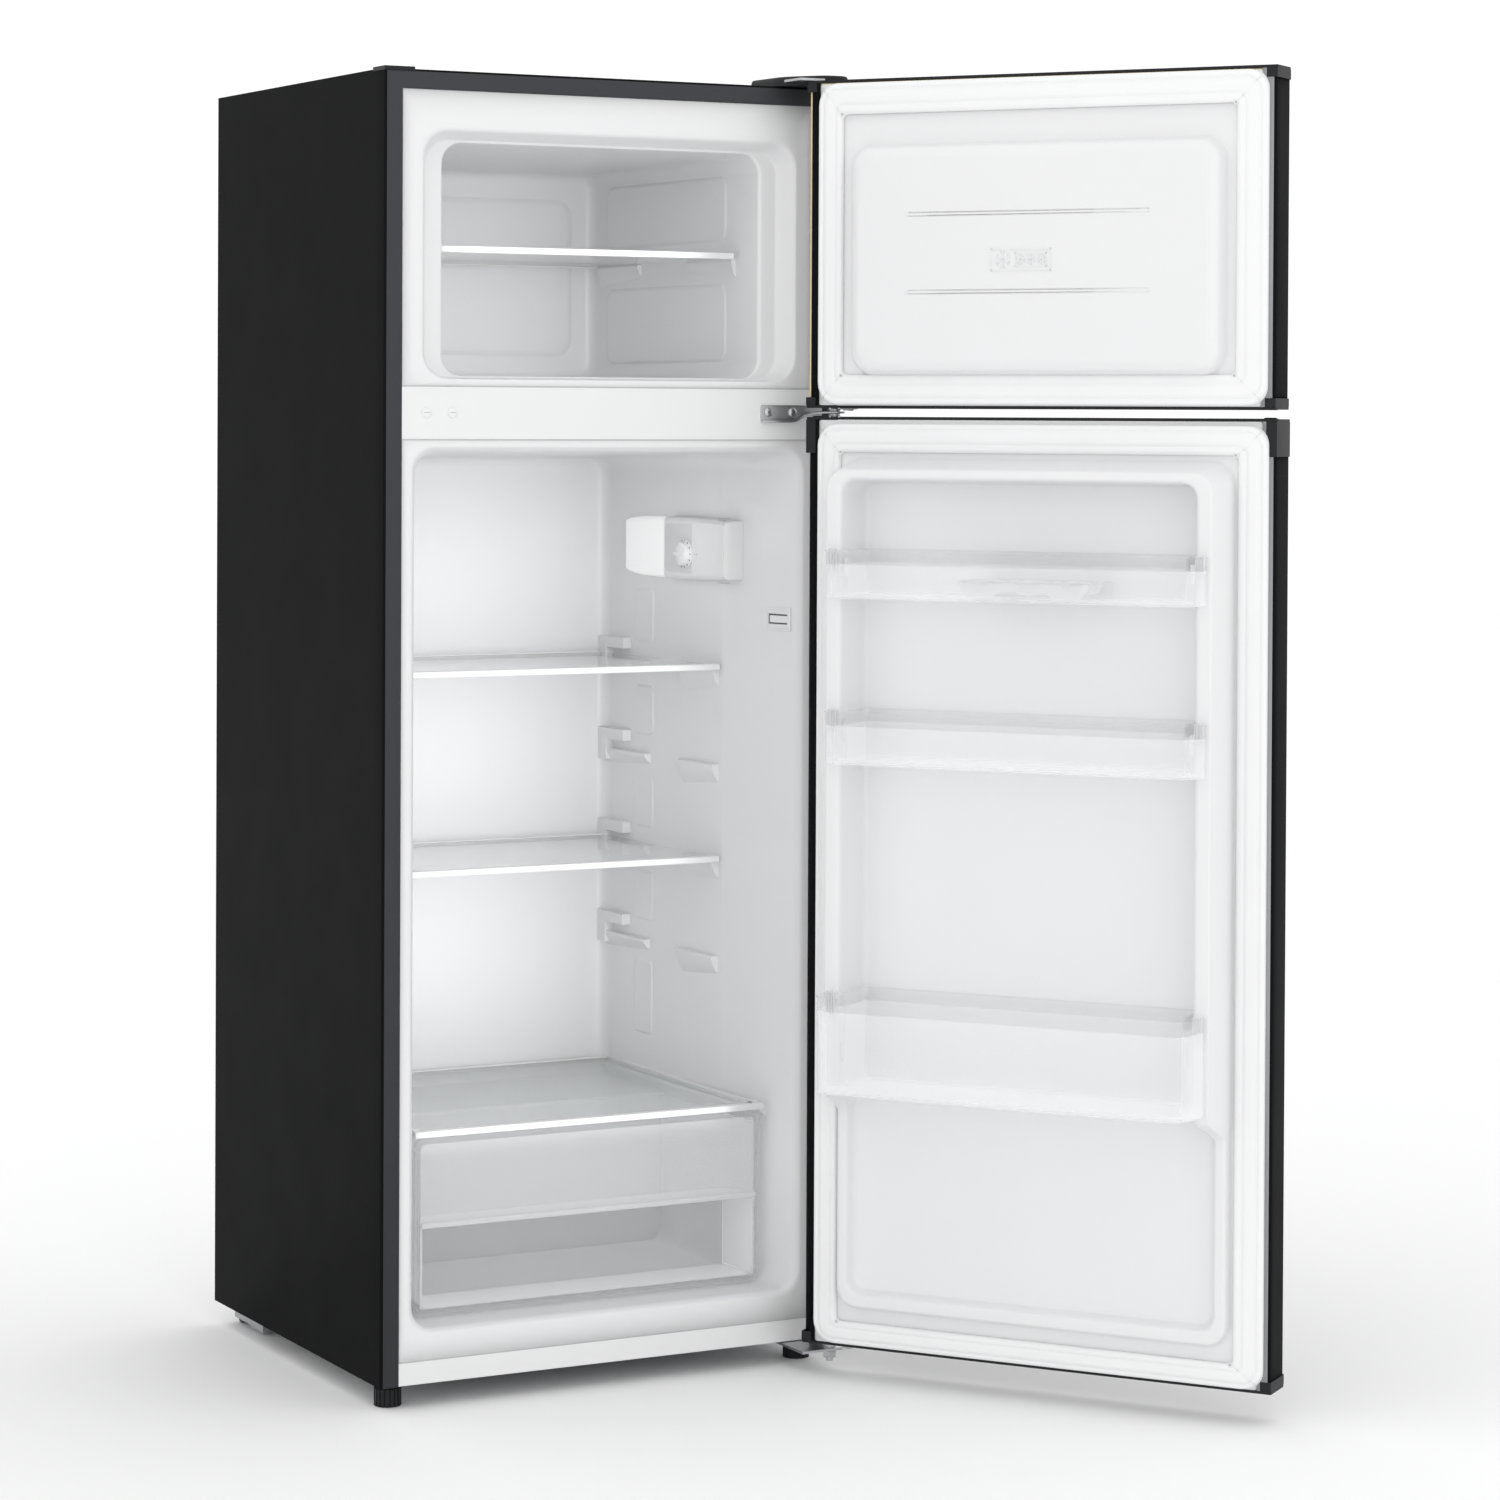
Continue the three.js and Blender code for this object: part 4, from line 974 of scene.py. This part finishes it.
# ---- shelves and drawer ---------------------------------------------------------------------
def build_shelf(name, body, half_glass, half_trim, front, back, under):
    top = under + 4
    glass = Shape().block(-half_glass, half_glass, front + 0.5, back - 0.5, under, top)
    glass.piece(f"{name}_pane", body, CABINET, [GLASS], "shelf_glass", [f"{name}_glass"], bevel=0.5)

    def channel(edge, inward):
        """Section, in Y and Z, of the strip that is pushed over the glass edge."""
        section = [(-4, under - 0.6), (-3, under - 1.6), (6, under - 1.6), (6, under - 0.2),
                   (-0.2, under - 0.2), (-0.2, top + 0.2), (6, top + 0.2), (6, top + 1.6), (-3, top + 1.6),
                   (-4, top + 0.6)]
        return round_outline([(edge + inward * y, z) for y, z in section],
                             [1.6, 1.4, 0.5, 0.3, 0.1, 0.1, 0.3, 0.5, 1.4, 1.6], 3)

    trim = Shape()
    trim.prism(channel(front, 1), "x", -half_trim, half_trim)
    trim.prism(channel(back, -1), "x", -half_glass, half_glass)
    trim.piece(f"{name}_strips", body, CABINET, [WHITE_PLASTIC], "white_plastic", [f"{name}_trim"],
               bevel=0.3)


def build_crisper_rails():
    rails = Shape()
    for side in (-1, 1):
        rails.block(*sorted((side * 205.6, side * 209)), -196, 178, 284.2, 290.4)
        rails.block(*sorted((side * 205.6, side * 213.5)), -196.5, -186, 284.2, 290.8)
    rails.fixed("crisper_cover_rails", [WHITE_PLASTIC], "white_plastic", bevel=0.8)


def build_drawer():
    front, low, high = -201, 87, 281
    clear, frosted, cloudy, highlight_lines_mark = 0, 1, 2, 3
    drawer = Shape()
    rim = [(0, front + 5, 12), (0, front + 1, 12), (0.7, front + 0.1, 12), (2.2, front, 11),
           (3, front + 0.9, 11), (3.8, front + 0.1, 10), (6.2, front + 0.3, 9), (7, front + 1.4, 9),
           (7, front + 5, 9)]
    drawer.loft([ring(213 - inset, low + inset, high - inset, r, y) for inset, y, r in rim], clear,
                wrap=True)

    def panel(half, z0, z1, mark, radii, y, thick):
        drawer.prism(round_outline(rectangle(-half, half, z0, z1), radii), "y", y, y + thick, mark)

    ledge, back = 187, -160
    panel(206, ledge + 1.6, high - 7, frosted, [1, 1, 6, 6], front + 1.6, 2)
    panel(187, low + 12, ledge - 1.4, clear, 1, back, 1.4)
    for side in (-1, 1):
        slant = [(side * 206, front + 2), (side * 204.4, front + 2), (side * 186.2, back),
                 (side * 187.8, back)]
        drawer.stack([slant, slant], "z", [low + 9, ledge - 1.4], frosted)
        # Thin tubes along the slanted and upright edges carry painted highlight lines.
        for start, end, thick in (((205.5, front + 2, low + 9), (187.4, back - 0.6, low + 15), 1.0),
                                  ((187.2, back - 0.8, low + 15), (187.2, back - 0.8, ledge - 2), 0.7),
                                  ((205.6, front + 1, low + 10), (205.6, front + 1, ledge - 3), 0.9)):
            drawer.tube([(side * x, y, z) for x, y, z in (start, end)], thick, 8, highlight_lines_mark)
    # The ledge lip is real shape, but it also takes the painted highlight finish.
    lip = [(front - 3.6, ledge - 2.4), (front - 3.6, ledge + 0.6), (front - 1, ledge + 1.4),
           (front + 3, ledge + 1.4), (front + 3, ledge - 0.8), (front, ledge - 0.8),
           (front + 0.2, ledge - 4.4), (front - 1.6, ledge - 4.4)]
    drawer.prism(round_outline(lip, 0.6, 3), "x", -206, 206, highlight_lines_mark)
    for z, thick, mark in ((low + 7, 1.4, frosted), (ledge - 0.8, 1.6, cloudy)):
        rise = 5 if z < ledge - 20 else 0
        drawer.loft([[(-206, front + 3, a), (206, front + 3, a), (187, back + 1, a + rise),
                      (-187, back + 1, a + rise)] for a in (z, z + thick)], mark)

    def channel(y, hw, z):
        """U section of the tray with an open top, outer wall then inner wall."""
        r, top = 18, 267
        lines = []
        for wall in (0, 2):
            half, base = hw - wall, z + wall
            turn = r - wall
            points = [(-half, top)]
            for cx, start in ((-half + turn, 180), (half - turn, 270)):
                points += [(cx + turn * cos(radians(start + 15 * i)), base + turn
                            + turn * sin(radians(start + 15 * i))) for i in range(7)]
            points.append((half, top))
            lines.append(points)
        return [(a, y, b) for a, b in lines[0] + lines[1][::-1]]

    drawer.loft([channel(-195.4, 208.5, 93), channel(-112, 206, 93), channel(12, 197.5, 95)], frosted)
    drawer.prism(round_outline(rectangle(-197.5, 197.5, 95, 267), [18, 18, 1, 1], 6), "y", 12.1, 14,
                 frosted)
    drawer.piece("crisper_drawer_box", "crisper_drawer", CABINET, [CLEAR, FROSTED, CLOUDY, PAINTED_HIGHLIGHT],
                 "clear_plastic", ["crisper_drawer"], angle=30)


# ---- controls -------------------------------------------------------------------------------
def control_section(y, face, low, high, r):
    """Section of the box at y: rounded towards the room, running into the side wall."""
    wall = fridge_wall(y) - 0.3
    outline = round_outline([(wall, low), (face, low), (face, high), (wall, high)], [0.3, r, r, 0.3], 6)
    return [(x, y, z) for x, z in outline]


def bow(y):
    """How far the box's upper and lower edges stand out in the middle of its length."""
    return 3.2 * (1 - ((y + 20) / 150) ** 2)


def build_controls():
    front, split, back = -147, 8, 128
    low, high, face = 882, 948, 194
    housing = Shape()
    stations = [(front, face + 4, -2.5), (front + 0.8, face + 1.6, -1), (front + 3, face + 0.2, 0),
                (-120, face, 0), (-90, face, 0), (-60, face, 0), (-30, face, 0), (split - 0.2, face, 0)]
    housing.loft([control_section(y, x, low - bow(y) - grow, high + bow(y) + grow, 6) for y, x,
                  grow in stations])
    housing.prism(round_outline([(-144, 885.5), (-66, 884), (-66, 946.5), (-144, 945)], [3, 1.5, 1.5, 3]),
                  "x", face - 1.4, face + 0.4)
    frame_outline = round_outline(rectangle(-136, -91, 899.5, 918.5), 3, 4)
    inner_outline = round_outline(rectangle(-135.2, -91.8, 900.3, 917.7), 2.4, 4)
    levels = ((frame_outline, face - 1.3), (frame_outline, face - 1.8),
              (inner_outline, face - 1.8), (inner_outline, face - 1.3))
    housing.loft([[(x, y, z) for y, z in outline] for outline, x in levels], wrap=True)
    # Grey plates on the top and bottom of the box: painted shade where the vent slots would be.
    for z in (951.2, 878.2):
        for k in range(4):
            y = -142 + k * 5
            housing.block(face + 2, face + 9, y, y + 3, *sorted((z, z + (0.8 if z > 900 else -0.8))), 1)
    housing.fixed("control_box", [WHITE_PLASTIC, SOFT_MARK], "white_plastic", ["control_housing"],
                  bevel=0.35)

    recess = Shape()
    recess.prism(round_outline([(-65, 886), (4, 887), (4, 943), (-65, 944)], [1, 6, 6, 1], 5), "x",
                 face - 0.35, face + 0.2)
    recess.fixed("control_box_field", [FIELD_PLASTIC], "white_plastic")
    marks = Shape()
    marks.block(face - 1.62, face - 1.3, -76, -70, 908.7, 909.3)
    marks.lathe([(0.9, 0), (0.9, 0.3)], (face - 1.7, -79, 909), "x", 12)
    marks.fixed("control_box_marks", [SOFT_MARK], "white_plastic")

    lens = Shape()
    stations = [(split + 0.3, face, 0), (40, face, 0), (70, face, 0), (92, face + 0.8, -0.6),
                (108, face + 2.6, -1.8), (120, face + 5.6, -3.6), (back - 1, face + 9.5, -6)]
    lens.loft([control_section(y, x, low - bow(y) - grow, high + bow(y) + grow, 7) for y, x,
               grow in stations])
    lens.fixed("lamp_lens", [LAMP_LENS], "lamp_lens", ["lamp_cover"], angle=50)

    knob = Shape()
    y, z = -50, 909
    knob.lathe([(17, -0.4), (17.2, -2.6), (16.6, -3.4), (14.6, -3.6), (14.2, -4.2), (13.4, -8.6),
                (11.6, -9.7), (2, -10)], (face, y, z), "x", 56)
    knob.prism(round_outline(rectangle(y - 12.5, y + 12.5, z - 1.9, z + 1.9), 1.6), "x", face - 11.2,
               face - 9)
    for tick in range(11):
        a = radians(45 + 27 * tick)
        at = Vector((y + 15.7 * cos(a), z + 15.7 * sin(a)))
        along, across = Vector((cos(a), sin(a))) * 0.9, Vector((-sin(a), cos(a))) * (0.35 + 0.04 * tick)
        knob.prism([at + along + across, at - along + across, at - along - across, at + along - across], "x",
                   face - 3.95, face - 3.2, 1)
    knob.piece("thermostat_dial", "thermostat_knob", CABINET, [WHITE_PLASTIC, DARK_MARK], "white_plastic",
               ["thermostat_knob"], angle=40)


def on_wall(shape, y0, y1, z0, z1, out, mark=0, sunk=0.6):
    """Block on the flared right wall that stands out by out."""
    rings = []
    for y in (y0, y1):
        x = fridge_wall(y)
        rings.append([(x + sunk, y, z0), (x - out, y, z0), (x - out, y, z1), (x + sunk, y, z1)])
    shape.loft(rings, mark)


def build_switch():
    y0, y1, z0, z1 = -235, -192, 827, 852
    plate = Shape()
    on_wall(plate, y0 + 5.5, y1, z1 - 2, z1, 1.7)
    on_wall(plate, y0 + 5.5, y1, z0, z0 + 2, 1.7)
    on_wall(plate, y1 - 2, y1, z0 + 2, z1 - 2, 1.7)
    on_wall(plate, y0, y0 + 5.4, z0 - 0.5, z1 + 0.5, 2.2)
    on_wall(plate, y0 + 5.5, y1 - 2.1, z0 + 2.1, z0 + 6.6, 1.2)
    on_wall(plate, y0 + 5.5, y1 - 2.1, z1 - 6.6, z1 - 2.1, 1.2)
    # A dark sheet between the frame bars, behind the rocker: painted shade of the opening around the rocker.
    on_wall(plate, y0 + 5.6, y1 - 2.2, z0 + 6.8, z1 - 6.8, 0.15, 1)
    plate.fixed("switch_plate", [WHITE_PLASTIC, DARK_MARK], "white_plastic", ["light_switch_frame"],
                bevel=0.3)
    rocker = Shape()
    middle = (z0 + z1) / 2
    rings = []
    for y, out in ((y0 + 6.3, 1.9), (y0 + 7, 2.5), (y0 + 22, 2.7), (y1 - 7, 2.5), (y1 - 6.3, 1.9)):
        x = fridge_wall(y)
        rings.append([(x - 0.3, y, middle - 4), (x - out * 0.8, y, middle - 4), (x - out, y, middle - 3),
                      (x - out, y, middle + 3), (x - out * 0.8, y, middle + 4), (x - 0.3, y, middle + 4)])
    rocker.loft(rings)
    rocker.piece("switch_rocker", "light_switch", CABINET, [WHITE_PLASTIC], "white_plastic",
                 ["light_switch"], bevel=0.4)


# ---- hinges ---------------------------------------------------------------------------------
def build_hinges():
    plate = Shape()
    plate.prism(round_outline([(184, 1062.5), (228, 1062.5), (240, 1070), (262, 1070.5), (262, 1082),
                               (184, 1082)], [2.5, 8, 6, 1, 1, 2.5]), "y", FRONT - 1.75, FRONT - 0.05)
    rings = []
    for x, z, reach in ((184.6, 1063.6, 3.4), (190, 1063.6, 4), (220, 1063.6, 4.5), (226, 1064.4, 4.7),
                        (231, 1066.8, 5.2), (236, 1070.2, 5.8), (240, 1072.8, 22), (243, 1073.8, 34),
                        (247, 1074.1, 43), (254, 1074.1, 50), (262, 1074.1, 50.5), (266, 1074.1, 47)):
        near, far = FRONT - 1.6, FRONT - 1.6 - reach
        rings.append([(x, near, z - 1.1), (x, near, z + 1.1), (x, far, z + 1.1), (x, far, z - 1.1)])
    plate.loft(rings)
    pin = [(4, -19), (4, -4.6), (7, -4.5), (7, -2.9), (6.4, -2.8), (6.4, -1.2), (7.4, -1.1), (7.4, 1.2),
           (6.4, 1.3), (6.4, 2.6), (7, 2.7), (7, 4.4), (4, 4.5), (4, 20), (3, 21)]
    plate.lathe(pin, (HINGE_X, HINGE_Y, MIDDLE_HINGE_Z), "z", 28)
    plate.fixed("middle_hinge_bracket", [ZINC], "zinc_steel", ["middle_hinge"], bevel=0.35)
    for number, x in enumerate((193, 224), 1):
        screw = Shape()
        phillips(screw, x, FRONT - 1.8, MIDDLE_HINGE_Z, 5)
        screw.fixed(f"middle_hinge_cross_screw_{number}", [ZINC, DARK_MARK], "zinc_steel",
                    [f"middle_hinge_screw_{number}"], angle=30)

    cover = Shape()
    plan = [(201.5, -189), (201.5, -252), (214, -275), (240, -302), (262, -302.6), (269.5, -294),
            (269.5, -189)]
    middle = Vector((238, -240))
    outlines = []
    for inset in (0, 0, 0.6, 2.2, 5):
        scaled = []
        for x, y in round_outline(plan, [2, 14, 20, 10, 8, 8, 2], 6):
            away = Vector((x, y)) - middle
            scaled.append(tuple(middle + away * (1 - inset / max(away.length, 1))))
        outlines.append(scaled)
    cover.stack(outlines, "z", [1439.4, 1445.4, 1448, 1449.5, 1449.95])
    cover.fixed("top_hinge_shroud", [BLACK_PLASTIC], "black_plastic", ["top_hinge_cover"], angle=50)

    pin = Shape().lathe([(4, -2), (4, 1.8), (3, 2.4), (1, 2.5)], (HINGE_X, HINGE_Y, 1443.4), "z", 24)
    pin.fixed("top_hinge_pin", [ZINC], "zinc_steel", angle=40)
    nuts = Shape()
    nuts.lathe([(7.2, 14), (8, 15), (8, 20.6), (7.2, 21.6)], (HINGE_X, HINGE_Y, 0), "z", 6)
    nuts.lathe([(4, 0), (4, 4.6), (3.2, 5)], (HINGE_X, HINGE_Y, 9.4), "z", 20)
    nuts.lathe([(5, 0), (5, 1.2), (4, 2)], (228, -224, 24.8), "z", 20)
    nuts.fixed("bottom_hinge_nut", [ZINC], "zinc_steel", bevel=0.3)


# ---- machinery at the rear --------------------------------------------------------------------
def curve_through(route, steps=6):
    """Smooth line through the points of a pipe's route."""
    points = [Vector(p) for p in route]
    made = []
    for i in range(len(points) - 1):
        p0, p1 = points[max(i - 1, 0)], points[i]
        p2, p3 = points[i + 1], points[min(i + 2, len(points) - 1)]
        for k in range(steps):
            t = k / steps
            made.append(0.5 * (2 * p1 + (p2 - p0) * t + (2 * p0 - 5 * p1 + 4 * p2 - p3) * t * t
                               + (3 * p1 - p0 - 3 * p2 + p3) * t ** 3))
    made.append(points[-1])
    return made


def build_compressor():
    cx, cy = 70, 160
    pump = Shape()
    pump.lathe([(20, 40), (48, 41), (66, 47), (74, 58), (76, 74), (76, 104), (78.5, 105), (78.5, 109),
                (75.5, 110), (74.5, 138), (70, 156), (58, 168), (38, 174.5), (12, 176)], (cx, cy, 0), "z",
               56)
    pump.prism(round_outline(rectangle(cx - 100, cx + 100, cy - 54, cy + 54), 10, 5), "z", 38, 41)
    for sx in (-1, 1):
        for sy in (-1, 1):
            foot = (cx + sx * 86, cy + sy * 41, 0)
            pump.lathe([(9, 30.3), (10, 32), (8, 34), (10, 36), (8.4, 37.8)], foot, "z", 20, 1)
            pump.lathe([(6, 41.1), (6, 44), (3, 46)], foot, "z", 6, 2)
    relay = round_outline(rectangle(cy - 26, cy + 26, 72, 128), 6, 4)
    pump.prism(relay, "x", cx + 72, cx + 98, 1)
    pump.fixed("compressor_shell", [BLACK_STEEL, BLACK_PLASTIC, ZINC], "black_steel", ["compressor"],
               bevel=0.8)

    pipes = Shape()
    routes = [[(cx - 50, cy, 158), (cx - 50, cy, 186), (cx - 56, cy, 200), (cx - 72, cy, 208),
               (-120, cy, 208), (-190, cy - 6, 204), (-214, cy - 14, 196), (-222, cy - 20, 180),
               (-222, cy - 20, 120)], [(cx - 62, cy + 40, 100), (cx - 84, cy + 52, 100),
                                       (cx - 100, cy + 54, 110), (cx - 104, cy + 54, 150),
                                       (-60, cy + 54, 172), (-140, cy + 52, 176), (-200, cy + 44, 170),
                                       (-232, cy + 36, 160), (-240, cy + 30, 140)],]
    for route in routes:
        pipes.tube(curve_through(route), 3.1, 12)
    pipes.lathe([(3, -60), (8, -52), (10, -46), (10, 20), (8, 26), (3, 34)], (-222, cy - 20, 110), "z", 24)
    pipes.fixed("compressor_pipes", [COPPER], "copper_tube", angle=50)


for shelf_name, z in (("upper_shelf", SHELF_LEVELS[0]), ("lower_shelf", SHELF_LEVELS[2])):
    build_shelf(shelf_name, shelf_name, 205, 206, -108, 180, z)
build_shelf("freezer_shelf", "freezer_shelf", 183, 184.5, -178, 170, 1249)
build_shelf("crisper_cover", "root", 205, 215, -203, 180, 284)
build_crisper_rails()
build_drawer()
build_controls()
build_switch()
build_hinges()
build_compressor()


# ---- finishes of the CAD nodes that stay ---------------------------------------------------
KEPT = {
    "charcoal_steel": PAINT,
    "galvanised_steel": GALVANISED,
    "black_steel": BLACK_STEEL,
    "zinc_steel": ZINC,
    "copper_tube": COPPER,
    "aluminium_plate": ALUMINIUM,
    "white_plastic": WHITE_PLASTIC,
    "white_liner": LINER_PLASTIC,
    "white_gasket": GASKET_RUBBER,
    "black_plastic": BLACK_PLASTIC,
    "grey_plastic": GREY_PLASTIC,
    "clear_plastic": FROSTED,
    "shelf_glass": GLASS,
    "lamp_lens": LAMP_LENS,
    "insulation_foam": FOAM,
}
ROUNDED = {
    "corner_cap": 0.7,
    "top_hinge": 0.3,
    "bottom_hinge": 0.35,
    "drip_tray": 0.8,
    "cord_gland": 0.5,
    "compressor_tray": 0.3,
    "front_foot_left": 0.25,
    "front_foot_right": 0.25,
    "rear_roller_left": 0.6,
    "rear_roller_right": 0.6,
}
slots = {part["node"]: part["material_slot"] for part in frame["record"]["subparts"]}
for node_name, node in frame["nodes"].items():
    if node.hide_render:
        continue
    node.data.materials.clear()
    node.data.materials.append(KEPT[slots[node_name]].material)
    if node_name in ROUNDED:
        round_edges = node.modifiers.new("round_edges", "BEVEL")
        round_edges.width = ROUNDED[node_name] * MM
        round_edges.segments = 2
        round_edges.limit_method = "ANGLE"
        round_edges.angle_limit = radians(40)
